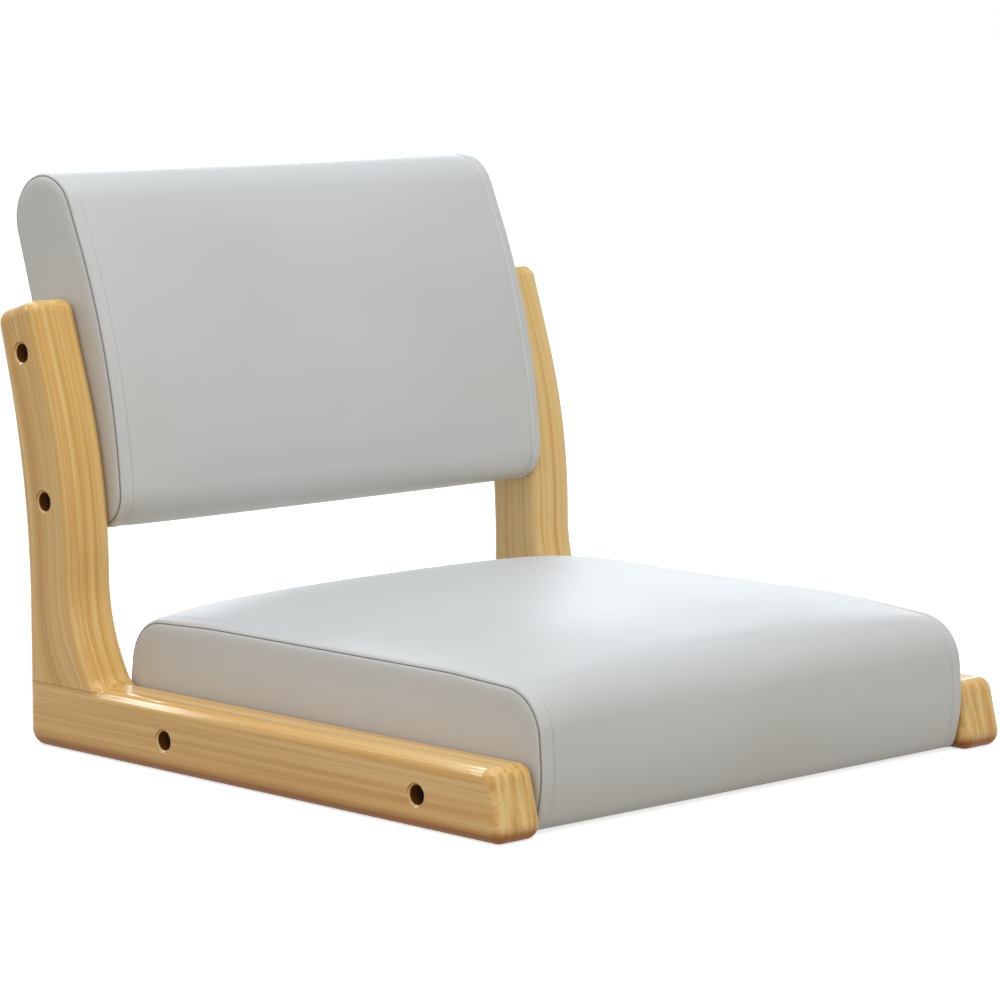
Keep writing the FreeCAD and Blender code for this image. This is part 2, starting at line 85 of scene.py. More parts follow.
class Grain(Enum):
    """Axis that a board's fibres run along."""

    ALONG_Y = "Y"
    ALONG_Z = "Z"


# Colour and node helpers


def linear(hex_code: str) -> Colour:
    """Turns an sRGB hex colour into linear RGBA.

    Args:
        hex_code: colour as "#RRGGBB".

    Returns:
        Linear red, green, blue and an alpha of 1.
    """
    values = [int(hex_code[k:k + 2], 16) / 255 for k in (1, 3, 5)]
    parts = [v / 12.92 if v <= 0.04045 else ((v + 0.055) / 1.055) ** 2.4 for v in values]
    return (parts[0], parts[1], parts[2], 1.0)


def grey(level: float) -> Colour:
    """Linear grey of a level, for ramps that carry a number."""
    return (level, level, level, 1.0)


def feed(tree: Tree, node: bpy.types.Node, inputs: dict[Any, Any]) -> None:
    """Gives a node's inputs their values and links.

    Args:
        tree: node tree of the node.
        node: the node.
        inputs: for each input's name or number, a plain value, the socket that feeds it, or a node
            whose first output feeds it.
    """
    for key, value in inputs.items():
        source = value.outputs[0] if isinstance(value, bpy.types.Node) else value
        if isinstance(source, Socket):
            tree.links.new(source, node.inputs[key])
        else:
            node.inputs[key].default_value = source


def add_node(tree: Tree, kind: str, inputs: dict[Any, Any] | Sequence[Any] = (),
             stops: Sequence[tuple[float, Colour]] = (), **settings: Any) -> bpy.types.Node:
    """Adds one shader node with its settings, its values and its links.

    Args:
        tree: node tree that gets the node.
        kind: type of the node, such as "Math" for ShaderNodeMath.
        inputs: what feed takes, or a plain list of the first inputs' values in order.
        stops: place and colour of each stop in order, where the node is a colour ramp.
        settings: properties of the node itself.

    Returns:
        The new node.
    """
    node = tree.nodes.new(f"ShaderNode{kind}")
    for name, value in settings.items():
        setattr(node, name, value)
    feed(tree, node, inputs if isinstance(inputs, dict) else dict(enumerate(inputs)))
    for k, (place, colour) in enumerate(stops):
        elements = node.color_ramp.elements
        element = elements[k] if k < len(elements) else elements.new(place)
        element.position, element.color = place, colour
    return node


def new_material(name: str) -> tuple[bpy.types.Material, Tree, bpy.types.Node]:
    """Makes an empty material with one Principled shader on its output.

    Args:
        name: name of the material.

    Returns:
        The material, its node tree and the shader.
    """
    material = bpy.data.materials.new(name)
    material.use_nodes = True
    tree = material.node_tree
    tree.nodes.clear()
    shader = add_node(tree, "BsdfPrincipled")
    add_node(tree, "OutputMaterial", {"Surface": shader})
    return material, tree, shader


# Finishes


@dataclass(frozen=True)
class Streaks:
    """Streaks in wood: their width, length in widths, octaves of noise and share in the tone."""

    width: float
    stretch: float
    detail: float
    share: float = 0.0


@dataclass(frozen=True)
class Bend:
    """An edge's even bend: where it starts and ends along the edge, and the slope after it."""

    start: float
    end: float
    slope: float


@dataclass(frozen=True)
class WoodPlace:
    """Sockets with the place of a point in a board, as x, y and z and across the grain."""

    x: Any
    y: Any
    z: Any
    grain: Grain
    across: Any

    @property
    def along(self) -> Any:
        """Place along the grain."""
        return self.z if self.grain is Grain.ALONG_Z else self.y


@dataclass(frozen=True)
class LacqueredPine:
    """Planed pine under a clear gloss lacquer.

    Pine is sawn, planed and sanded, and its growth rings give streaks along the grain and soft
    streaks on the ends. The lacquer fills the pores, so the eye sees even, warm wood under a thin
    wet shine. Faces that look down and the wood near the floor get painted shade, a darker brown,
    and lose the lacquer so that the floor doesn't show in it. Each bolt recess gets painted shade
    inside and a painted highlight round its mouth.
    """

    pale: str = "#ECC884"
    honey: str = "#DFB064"
    amber: str = "#C79145"
    tone_stops: tuple[float, float, float] = (0.34, 0.5, 0.68)
    broad: Streaks = Streaks(width=12.0, stretch=60.0, detail=1.0, share=0.35)
    medium: Streaks = Streaks(width=3.2, stretch=110.0, detail=2.0, share=0.55)
    narrow: Streaks = Streaks(width=1.0, stretch=150.0, detail=1.0, share=0.16)
    ring_share: float = 0.1
    ring_spacing: float = 5.2
    ring_wander: float = 4.0
    wander: Streaks = Streaks(width=30.0, stretch=30.0, detail=1.0)
    ring_levels: Levels = ((0.0, 0.15), (0.4, 0.3), (0.8, 0.95), (1.0, 0.15))
    vein: str = "#BA7A33"
    veins: Streaks = Streaks(width=2.4, stretch=160.0, detail=2.0)
    vein_levels: Levels = ((0.6, 0.0), (0.72, 0.3))
    front_bend: Bend = Bend(start=122.2, end=248.5, slope=0.3327)
    foot_flare: Bend = Bend(start=-119.5, end=-61.4, slope=0.554)
    flare_length: float = 30.0
    flare_fade: float = 45.0
    end_streak: float = 5.0
    end_stretch: float = 9.0
    end_detail: float = 2.0
    end_facing: tuple[float, float] = (0.6, 0.85)
    top_end: float = 250.0
    # Painted shade: faces that look down and the wood near the floor are mixed towards this darker
    # brown.
    underside: str = "#A25512"
    down_facing: tuple[float, float] = (0.05, -0.5)
    down_share: float = 0.75
    shade_height: float = 12.0
    floor_shade_share: float = 0.6
    # The rim colour is a painted highlight on the edge round each bolt recess's mouth, and the bore
    # colour is painted shade inside the recess.
    rim: str = "#E6C589"
    highlight_ring_radius: float = 7.4
    bore_shade: str = "#7A4920"
    bore_shade_radius: float = 6.6
    bore_shade_mouth: float = 1.3
    glue_half_width: float = 0.35
    glue_share: float = 0.6
    wood_roughness: float = 0.4
    wood_gloss: float = 0.08
    lacquer_share: float = 0.55
    lacquer_roughness: float = 0.09
    lacquer_ior: float = 1.5
    streak_relief: float = 0.7
    ring_relief: float = 0.3
    relief: float = 0.12
    relief_strength: float = 0.1

    def build(self, name: str, grain: Grain, pith: tuple[float, float],
              bores: list[tuple[float, float]], outer: float, joint: tuple[float, float],
              darkness: float) -> bpy.types.Material:
        """Makes the wood of one board.

        Args:
            name: name of the material.
            grain: axis that the fibres run along.
            pith: place of the tree's centre across the two other axes, in metres.
            bores: (y, z) of the bolt recesses, in metres.
            outer: distance of the board's outer face from the chair's middle, in metres.
            joint: front end and height of the glue line, in metres.
            darkness: how far the board as a whole is from pale towards amber.

        Returns:
            The material.
        """
        material, tree, shader = new_material(name)
        point = add_node(tree, "TexCoord").outputs["Object"]
        x, y, z = add_node(tree, "SeparateXYZ", [point]).outputs
        across = self._across_upright(tree, y, z, joint[0]) if grain is Grain.ALONG_Z else z
        place = WoodPlace(x, y, z, grain, across)
        narrow = self._streaks(tree, place, self.narrow)
        rings = self._rings(tree, place, pith)
        tone: Any = darkness
        for part, share in ((self._streaks(tree, place, self.broad), self.broad.share),
                            (self._streaks(tree, place, self.medium), self.medium.share),
                            (narrow, self.narrow.share), (rings, self.ring_share)):
            tone = add_node(tree, "Math", [part, share, tone], operation="MULTIPLY_ADD")
        tone = self._end_grain(tree, tone, place)
        colours = [linear(colour) for colour in (self.pale, self.honey, self.amber)]
        wood = add_node(tree, "ValToRGB", [tone], list(zip(self.tone_stops, colours))).outputs[0]
        # Share of painted shade underneath.
        low = self._painted_underside_shade(tree, z)
        away = self._bore_distance(tree, place, bores)
        # Veins, painted shade underneath, a painted highlight round each recess's mouth, painted
        # shade inside it and the glue line.
        for share, colour, blend in (
                (self._vein_mask(tree, place), self.vein, "MIX"),
                (low, self.underside, "MIX"),
                (self._within(tree, away, self.highlight_ring_radius), self.rim, "MIX"),
                (self._drilled(tree, x, away, outer), self.bore_shade, "MIX"),
                (self._glue_mask(tree, y, z, joint), self.amber, "MULTIPLY")):
            wood = add_node(tree, "Mix", {SHARE: share, FIRST: wood, SECOND: linear(colour)},
                            data_type="RGBA", blend_type=blend).outputs[BLENDED]
        # The lacquer is left off where the painted shade lies, so the floor's reflection doesn't
        # show there.
        unshaded = add_node(tree, "Math", [1.0, low], operation="SUBTRACT")
        streaked = add_node(tree, "Math", [narrow, self.streak_relief], operation="MULTIPLY")
        ringed = add_node(tree, "Math", [rings, self.ring_relief], operation="MULTIPLY")
        feed(tree, shader, {
            "Base Color": wood,
            "Roughness": self.wood_roughness,
            "Specular IOR Level": self.wood_gloss,
            "Coat Weight": add_node(tree, "Math", [unshaded, self.lacquer_share], operation="MULTIPLY"),
            "Coat Roughness": self.lacquer_roughness,
            "Coat IOR": self.lacquer_ior,
            "Normal": add_node(tree, "Bump", {
                "Height": add_node(tree, "Math", [streaked, ringed], operation="ADD"),
                "Strength": self.relief_strength,
                "Distance": self.relief * MM,
            }),
        })
        return material

    def _across_upright(self, tree: Tree, y: Any, z: Any, foot: float) -> bpy.types.Node:
        """Place across the upright, following its front face's bend and flared foot.

        Args:
            tree: node tree of the wood.
            y, z: place of the point.
            foot: y where the flared foot starts, in metres.

        Returns:
            The place across the grain.
        """
        front = foot + self.flare_length * MM
        lean = self._swing(tree, z, self.front_bend)
        down = add_node(tree, "Math", [z, -1.0], operation="MULTIPLY")
        near = add_node(tree, "MapRange", [y, front, front + self.flare_fade * MM, 1.0, 0.0])
        flare = self._swing(tree, down, self.foot_flare)
        flare = add_node(tree, "Math", [flare, near], operation="MULTIPLY")
        upright = add_node(tree, "Math", [y, lean], operation="SUBTRACT")
        return add_node(tree, "Math", [upright, flare], operation="ADD")

    def _swing(self, tree: Tree, along: Any, bend: Bend) -> bpy.types.Node:
        """How far an edge has swung out where it bends evenly to a slope and then runs straight.

        Args:
            tree: node tree of the wood.
            along: place along the edge.
            bend: the bend.

        Returns:
            The distance, in metres.
        """
        start, end = bend.start * MM, bend.end * MM
        share = add_node(tree, "MapRange", [along, start, end, 0.0, 1.0])
        squared = add_node(tree, "Math", [share, share], operation="MULTIPLY")
        inside = add_node(tree, "Math", [squared, (end - start) / 2], operation="MULTIPLY")
        past = add_node(tree, "Math", [along, end], operation="SUBTRACT")
        past = add_node(tree, "Math", [past, 0.0], operation="MAXIMUM")
        both = add_node(tree, "Math", [inside, past], operation="ADD")
        return add_node(tree, "Math", [both, bend.slope], operation="MULTIPLY")

    def _end_grain(self, tree: Tree, tone: Any, place: WoodPlace) -> bpy.types.Node:
        """Tone with soft streaks instead on the cut ends, where the growth rings are cut across.

        Args:
            tree: node tree of the wood.
            tone: tone along the grain.
            place: place in the board.

        Returns:
            The tone all over.
        """
        squeezed = add_node(tree, "Math", [place.across, self.end_stretch], operation="DIVIDE")
        vector = add_node(tree, "CombineXYZ", [place.x, squeezed])
        streaks = add_node(tree, "TexNoise", {"Vector": vector, "Detail": self.end_detail,
                                              "Scale": 1 / (self.end_streak * MM)})
        if place.grain is Grain.ALONG_Z:
            above = add_node(tree, "Math", [place.z, self.top_end * MM], operation="GREATER_THAN")
            ends = add_node(tree, "Math", [self._facing(tree, "Z"), above], operation="MULTIPLY")
        else:
            ends = add_node(tree, "Math", [self._facing(tree, "Y")], operation="ABSOLUTE")
        share = add_node(tree, "MapRange", [ends, *self.end_facing, 0.0, 1.0])
        apart = add_node(tree, "Math", [streaks, tone], operation="SUBTRACT")
        return add_node(tree, "Math", [apart, share, tone], operation="MULTIPLY_ADD")

    def _streaks(self, tree: Tree, place: WoodPlace, streaks: Streaks) -> bpy.types.Node:
        """Noise drawn out along the grain.

        Args:
            tree: node tree of the wood.
            place: place in the board.
            streaks: size of the streaks.

        Returns:
            A level from 0 to 1.
        """
        squeezed = add_node(tree, "Math", [place.along, streaks.stretch], operation="DIVIDE")
        vector = add_node(tree, "CombineXYZ", [place.x, place.across, squeezed])
        return add_node(tree, "TexNoise", {"Vector": vector, "Detail": streaks.detail,
                                           "Scale": 1 / (streaks.width * MM)})

    def _vein_mask(self, tree: Tree, place: WoodPlace) -> bpy.types.Node:
        """How much of a darker vein shows at a place."""
        stops = [(at, grey(level)) for at, level in self.vein_levels]
        return add_node(tree, "ValToRGB", [self._streaks(tree, place, self.veins)], stops)

    def _rings(self, tree: Tree, place: WoodPlace, pith: tuple[float, float]) -> bpy.types.Node:
        """Growth rings round the pith, soft on the early side and sharp on the late side.

        Args:
            tree: node tree of the wood.
            place: place in the board.
            pith: place of the tree's centre across the grain.

        Returns:
            A level from 0 in early wood to 1 in late wood.
        """
        squared = self._distance_squared(tree, (place.x, place.across), pith)
        distance = add_node(tree, "Math", [squared], operation="SQRT")
        wander = self._streaks(tree, place, self.wander)
        shifted = add_node(tree, "Math", [wander, 2 * self.ring_wander * MM, distance],
                           operation="MULTIPLY_ADD")
        turns = add_node(tree, "Math", [shifted, self.ring_spacing * MM], operation="DIVIDE")
        phase = add_node(tree, "Math", [turns], operation="FRACT")
        stops = [(at, grey(level)) for at, level in self.ring_levels]
        return add_node(tree, "RGBToBW", [add_node(tree, "ValToRGB", [phase], stops)])

    def _distance_squared(self, tree: Tree, point: tuple[Any, Any],
                          centre: tuple[float, float]) -> bpy.types.Node:
        """Square of the distance of a point from a centre.

        Args:
            tree: node tree of the wood.
            point: the point's two coordinates.
            centre: the centre's two coordinates.

        Returns:
            The square.
        """
        squares = []
        for coordinate, middle in zip(point, centre):
            apart = add_node(tree, "Math", [coordinate, middle], operation="SUBTRACT")
            squares.append(add_node(tree, "Math", [apart, apart], operation="MULTIPLY"))
        return add_node(tree, "Math", squares, operation="ADD")

    def _facing(self, tree: Tree, axis: str) -> Socket:
        """One component of the surface's normal."""
        normal = add_node(tree, "NewGeometry").outputs["Normal"]
        return add_node(tree, "SeparateXYZ", [normal]).outputs[axis]

    def _painted_underside_shade(self, tree: Tree, z: Any) -> bpy.types.Node:
        """How much painted shade darkens the wood, on faces that look down and near the floor.

        Args:
            tree: node tree of the wood.
            z: height of the point.

        Returns:
            The share, which fades out upwards.
        """
        down = add_node(tree, "MapRange",
                        [self._facing(tree, "Z"), *self.down_facing, 0.0, self.down_share],
                        interpolation_type="SMOOTHSTEP")
        floor_shade = add_node(tree, "MapRange", [z, self.shade_height * MM, 0.0, 0.0, self.floor_shade_share])
        return add_node(tree, "Math", [down, floor_shade], operation="MAXIMUM")

    def _bore_distance(self, tree: Tree, place: WoodPlace, bores: list[tuple[float, float]]) -> Any:
        """Square of the distance from the nearest bolt recess's axis.

        Args:
            tree: node tree of the wood.
            place: place in the board.
            bores: (y, z) of the recesses, in metres.

        Returns:
            The square, which is never more than 1.
        """
        nearest: Any = 1.0
        for bore_shade in bores:
            squared = self._distance_squared(tree, (place.y, place.z), bore_shade)
            nearest = add_node(tree, "Math", [nearest, squared], operation="MINIMUM")
        return nearest

    def _within(self, tree: Tree, squared: Any, radius: float) -> bpy.types.Node:
        """1 where the square of a distance is less than a radius in millimetres has, and else 0."""
        return add_node(tree, "Math", [squared, (radius * MM) ** 2], operation="LESS_THAN")

    def _drilled(self, tree: Tree, x: Any, away: Any, outer: float) -> bpy.types.Node:
        """1 inside the bolt recesses, where painted shade goes, and 0 elsewhere.

        Args:
            tree: node tree of the wood.
            x: place sideways.
            away: square of the distance from the nearest recess's axis.
            outer: distance of the board's outer face from the chair's middle, in metres.

        Returns:
            The mask.
        """
        sideways = add_node(tree, "Math", [x], operation="ABSOLUTE")
        mouth = outer - self.bore_shade_mouth * MM
        deep = add_node(tree, "Math", [sideways, mouth], operation="LESS_THAN")
        near = self._within(tree, away, self.bore_shade_radius)
        return add_node(tree, "Math", [near, deep], operation="MULTIPLY")

    def _glue_mask(self, tree: Tree, y: Any, z: Any, joint: tuple[float, float]) -> bpy.types.Node:
        """Hairline of glue where the upright meets the rail.

        Args:
            tree: node tree of the wood.
            y, z: place of the point.
            joint: front end and height of the line.

        Returns:
            The line's strength on it and 0 elsewhere.
        """
        near = add_node(tree, "Math", [z, joint[1], self.glue_half_width * MM], operation="COMPARE")
        behind = add_node(tree, "Math", [y, joint[0]], operation="GREATER_THAN")
        line = add_node(tree, "Math", [near, behind], operation="MULTIPLY")
        return add_node(tree, "Math", [line, self.glue_share], operation="MULTIPLY")


@dataclass(frozen=True)
class CoatedCloth:
    """Smooth faux leather: a polyurethane coat on knitted cloth, embossed with a fine pebble grain.

    The embossing rollers leave shallow rounded cells about a millimetre across, and the coat is
    satin, so the eye sees an even pale grey whose tops catch a soft wide shine. The cells are drawn
    at 1.3 mm, a little coarser than life, because finer ones don't show.
    """

    coat: str = "#CCCCCA"
    shade: str = "#C8C7C3"
    blotch: float = 160.0
    blotch_detail: float = 2.0
    blotch_stops: tuple[float, float] = (0.35, 0.7)
    pebble: float = 1.3
    warp_size: float = 3.9
    warp_reach: float = 0.52
    pore: float = 0.35
    pore_detail: float = 1.0
    pore_share: float = 0.25
    relief: float = 0.07
    relief_strength: float = 0.3
    roughness: float = 0.46
    roughness_steps: Levels = ((0.3, -0.03), (0.75, 0.04))
    ior: float = 1.48

    def build(self) -> bpy.types.Material:
        """Makes the cover's material.

        Returns:
            The material.
        """
        material, tree, shader = new_material("pale_faux_leather")
        place = add_node(tree, "TexCoord").outputs["Object"]
        broad = add_node(tree, "TexNoise", {"Vector": place, "Scale": 1 / (self.blotch * MM),
                                            "Detail": self.blotch_detail})
        stops = [(at, grey(level)) for level, at in enumerate(self.blotch_stops)]
        share = add_node(tree, "ValToRGB", [broad], stops)
        colours = {FIRST: linear(self.coat), SECOND: linear(self.shade)}
        colour = add_node(tree, "Mix", {SHARE: share, **colours}, data_type="RGBA")
        warp = add_node(tree, "TexNoise", {"Vector": place, "Scale": 1 / (self.warp_size * MM)})
        bent = add_node(tree, "VectorMath", [warp.outputs["Color"], (self.warp_reach * MM,) * 3],
                        operation="MULTIPLY")
        moved = add_node(tree, "VectorMath", [place, bent], operation="ADD")
        cells = add_node(tree, "TexVoronoi", {"Vector": moved, "Scale": 1 / (self.pebble * MM)},
                         feature="SMOOTH_F1")
        pores = add_node(tree, "TexNoise", {"Vector": place, "Scale": 1 / (self.pore * MM),
                                            "Detail": self.pore_detail})
        domes = add_node(tree, "Math", [cells, -1.0], operation="MULTIPLY")
        height = add_node(tree, "Math", [pores, self.pore_share, domes], operation="MULTIPLY_ADD")
        uneven = [(at, grey(self.roughness + step)) for at, step in self.roughness_steps]
        feed(tree, shader, {
            "Base Color": colour.outputs[BLENDED],
            "Roughness": add_node(tree, "ValToRGB", [broad], uneven),
            "IOR": self.ior,
            "Normal": add_node(tree, "Bump", {"Height": height, "Strength": self.relief_strength,
                                              "Distance": self.relief * MM}),
        })
        return material


@dataclass(frozen=True)
class PlainFinish:
    """A simple solid finish: one colour with a second one mottled or drawn out through it.

    It serves pieces that hardly show, such as sawn timber, plywood, foam, thread and plated steel.
    """

    name: str
    colour: str
    second: str
    mottle: float
    bump: float
    roughness: float
    metallic: float = 0.0
    stretch: tuple[float, float, float] = (1.0, 1.0, 1.0)
    stops: tuple[float, float] = (0.35, 0.68)
    detail: float = 3.0
    bump_strength: float = 0.4

    def build(self) -> bpy.types.Material:
        """Makes the material.

        Returns:
            The material.
        """
        material, tree, shader = new_material(self.name)
        place = add_node(tree, "TexCoord").outputs["Object"]
        scaled = add_node(tree, "VectorMath", [place, self.stretch], operation="MULTIPLY")
        noise = add_node(tree, "TexNoise", {"Vector": scaled, "Scale": 1 / (self.mottle * MM),
                                            "Detail": self.detail})
        colours = [linear(self.colour), linear(self.second)]
        feed(tree, shader, {
            "Base Color": add_node(tree, "ValToRGB", [noise], list(zip(self.stops, colours))),
            "Roughness": self.roughness,
            "Metallic": self.metallic,
            "Normal": add_node(tree, "Bump", {"Height": noise, "Strength": self.bump_strength,
                                              "Distance": self.bump * MM}),
        })
        return material


# Zinc-plated steel: cold-headed and electroplated, so it is bright and slightly bluish.
PLATED_STEEL = PlainFinish("zinc_plated_steel", "#B9BCC0", "#9DA1A6", mottle=1.5, bump=0.02,
                           roughness=0.32, metallic=1.0)
# Blackened steel: machined and dipped in a hot oxide bath, so it is dark and slightly oily.
BLACKENED_STEEL = PlainFinish("blackened_steel", "#1C1B1A", "#262422", mottle=1.5, bump=0.02,
                              roughness=0.45, metallic=0.6)
# Sawn softwood: left rough by the saw, dull and pale with a furry grain along each batten.
SAWN_SOFTWOOD = PlainFinish("sawn_softwood", "#D9BE8F", "#C4A06A", mottle=3.0, bump=0.15,
                            roughness=0.75, stretch=(0.08, 1.0, 1.0))
# Birch plywood: rotary-cut veneer, sanded, so its figure is broad and faint.
BIRCH_PLYWOOD = PlainFinish("birch_plywood", "#DEC79E", "#CBB083", mottle=9.0, bump=0.06,
                            roughness=0.7, stretch=(0.2, 1.0, 1.0))
# Beech dowel: turned hardwood with short flecks along its length.
BEECH_DOWEL = PlainFinish("beech_dowel", "#C99F70", "#B5885A", mottle=1.2, bump=0.05,
                          roughness=0.6, stretch=(1.0, 1.0, 0.1))
# Flexible polyurethane foam: cut from a block, so open cells about a millimetre wide make it matt.
CUT_FOAM = PlainFinish("cut_foam", "#EFE6C4", "#E2D6AC", mottle=1.4, bump=0.5, roughness=0.95)
# Spun-bonded polypropylene: a thin black felt-like sheet with a faint print of its rollers.
SPUNBOND = PlainFinish("spunbond_cloth", "#191919", "#262626", mottle=1.6, bump=0.08, roughness=0.9)
# Bonded nylon thread, twisted and waxed: grey-brown in the seams.
# Grey-brown cord in the side seams: painted shade for the seam's gap.
SEAM_SHADE_CORD = PlainFinish("seam_thread", "#8A8780", "#75726B", mottle=0.8, bump=0.05, roughness=0.7)


# Mesh helpers


def make_object(name: str, points: np.ndarray, faces: Faces, material: bpy.types.Material,
                smooth: bool = True) -> bpy.types.Object:
    """Makes a piece of the chair from points in the row frame.

    Args:
        name: name of the piece.
        points: (n, 3) points in metres.
        faces: corner numbers of each face, outward by the right-hand rule.
        material: its finish.
        smooth: whether its faces are shaded smoothly.

    Returns:
        The object, riding on the chair's one body.
    """
    mesh = bpy.data.meshes.new(name)
    mesh.from_pydata([tuple(point) for point in points], [], faces)
    mesh.materials.append(material)
    mesh.polygons.foreach_set("use_smooth", [smooth] * len(mesh.polygons))
    mesh.update()
    piece = bpy.data.objects.new(name, mesh)
    bpy.context.scene.collection.objects.link(piece)
    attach(piece, BODY)
    log.info("%s: %d points", name, len(points))
    return piece


def make_padded(name: str, verts: np.ndarray, faces: Faces, material: bpy.types.Material,
                stands_for: str) -> bpy.types.Object:
    """Makes a soft piece of a pad and hides the CAD node that it stands for.

    Args:
        name: name of the piece.
        verts: (n, 3) points in the chair's working frame.
        faces: corner numbers of each face.
        material: its finish.
        stands_for: CAD node that it replaces.

    Returns:
        The piece.
    """
    piece = make_object(name, to_row(verts), faces, material)
    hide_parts(stands_for)
    return piece


def to_row(points: Any) -> np.ndarray:
    """Turns points of the working frame, in millimetres, into the row frame, in metres."""
    rail_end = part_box("left_base_rail")[1][1]
    return np.asarray(points, dtype=float) * MM + np.array([0.0, rail_end - RAIL_LENGTH * MM, 0.0])


def to_working(points: Any) -> np.ndarray:
    """Turns points of the row frame, in metres, into the working frame, in millimetres."""
    return (np.asarray(points, dtype=float) - to_row(np.zeros(3))) / MM


def node_points(node: str) -> np.ndarray:
    """Points of a CAD node in the working frame."""
    return to_working([v.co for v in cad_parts[node].data.vertices])


def ring_at(x: float, outline: np.ndarray) -> np.ndarray:
    """Places an outline's (y, z) points at x."""
    return np.column_stack([np.full(len(outline), x), outline])


def band_faces(rings: int, count: int, first: int = 0, flip: bool = False) -> Faces:
    """Quads between closed rings that follow one another.

    Args:
        rings: how many rings there are.
        count: points in each ring.
        first: number of the first ring's first point.
        flip: whether the faces turn the other way.

    Returns:
        The quads.
    """
    quads = []
    for j in range(rings - 1):
        for i in range(count):
            k = (i + 1) % count
            a = first + j * count
            b = a + count
            quad = (a + i, b + i, b + k, a + k)
            quads.append(quad[::-1] if flip else quad)
    return quads


def closed_faces(rings: int, count: int) -> Faces:
    """Faces of a closed form made of rings that follow one another, with a flat face at each end.

    Args:
        rings: how many rings there are.
        count: points in each ring.

    Returns:
        The faces.
    """
    last = (rings - 1) * count
    ends = [tuple(range(count)), tuple(last + i for i in reversed(range(count)))]
    return band_faces(rings, count) + ends


def shell_between(outer: np.ndarray, inner: np.ndarray,
                  capped: bool = False) -> tuple[np.ndarray, Faces]:
    """Closed thin shell between an outer and an inner set of rings.

    Args:
        outer: (rings, count, 3) points of the outer surface.
        inner: the same for the inner surface.
        capped: whether each surface ends in a flat face on its last ring, as a side panel does.

    Returns:
        Points and faces.
    """
    rings, count = outer.shape[:2]
    verts = np.concatenate([outer.reshape(-1, 3), inner.reshape(-1, 3)])
    offset = rings * count
    last = (rings - 1) * count
    faces = band_faces(rings, count) + band_faces(rings, count, offset, flip=True)
    ends = [(0, True)] if capped else [(0, True), (last, False)]
    for a, flip in ends:
        for i in range(count):
            k = (i + 1) % count
            quad = (a + i, a + k, a + offset + k, a + offset + i)
            faces.append(quad[::-1] if flip else quad)
    if capped:
        faces.append(tuple(last + i for i in reversed(range(count))))
        faces.append(tuple(last + offset + i for i in range(count)))
    return verts, faces


def tube(path: np.ndarray, radius: float, sides: int) -> tuple[np.ndarray, Faces]:
    """Round tube along a closed path that lies in one plane across X, or close to it.

    Args:
        path: (n, 3) points.
        radius: radius of the tube.
        sides: points round it.

    Returns:
        Points and faces.
    """
    count = len(path)
    along = np.roll(path, -1, axis=0) - np.roll(path, 1, axis=0)
    along /= np.linalg.norm(along, axis=1)[:, None]
    sideways = np.tile([1.0, 0.0, 0.0], (count, 1))
    sideways -= along * np.sum(along * sideways, axis=1)[:, None]
    sideways /= np.linalg.norm(sideways, axis=1)[:, None]
    normal = np.cross(along, sideways)
    turns = np.linspace(0, 2 * math.pi, sides, endpoint=False)
    verts = np.concatenate([path + radius * (math.cos(t) * sideways + math.sin(t) * normal)
                            for t in turns])
    faces = []
    for s in range(sides):
        a, b = s * count, ((s + 1) % sides) * count
        for i in range(count):
            k = (i + 1) % count
            faces.append((a + i, a + k, b + k, b + i))
    return verts, faces


@dataclass(frozen=True)
class Corner:
    """One corner of an outline in the YZ plane and the radius that rounds it."""

    y: float
    z: float
    radius: float


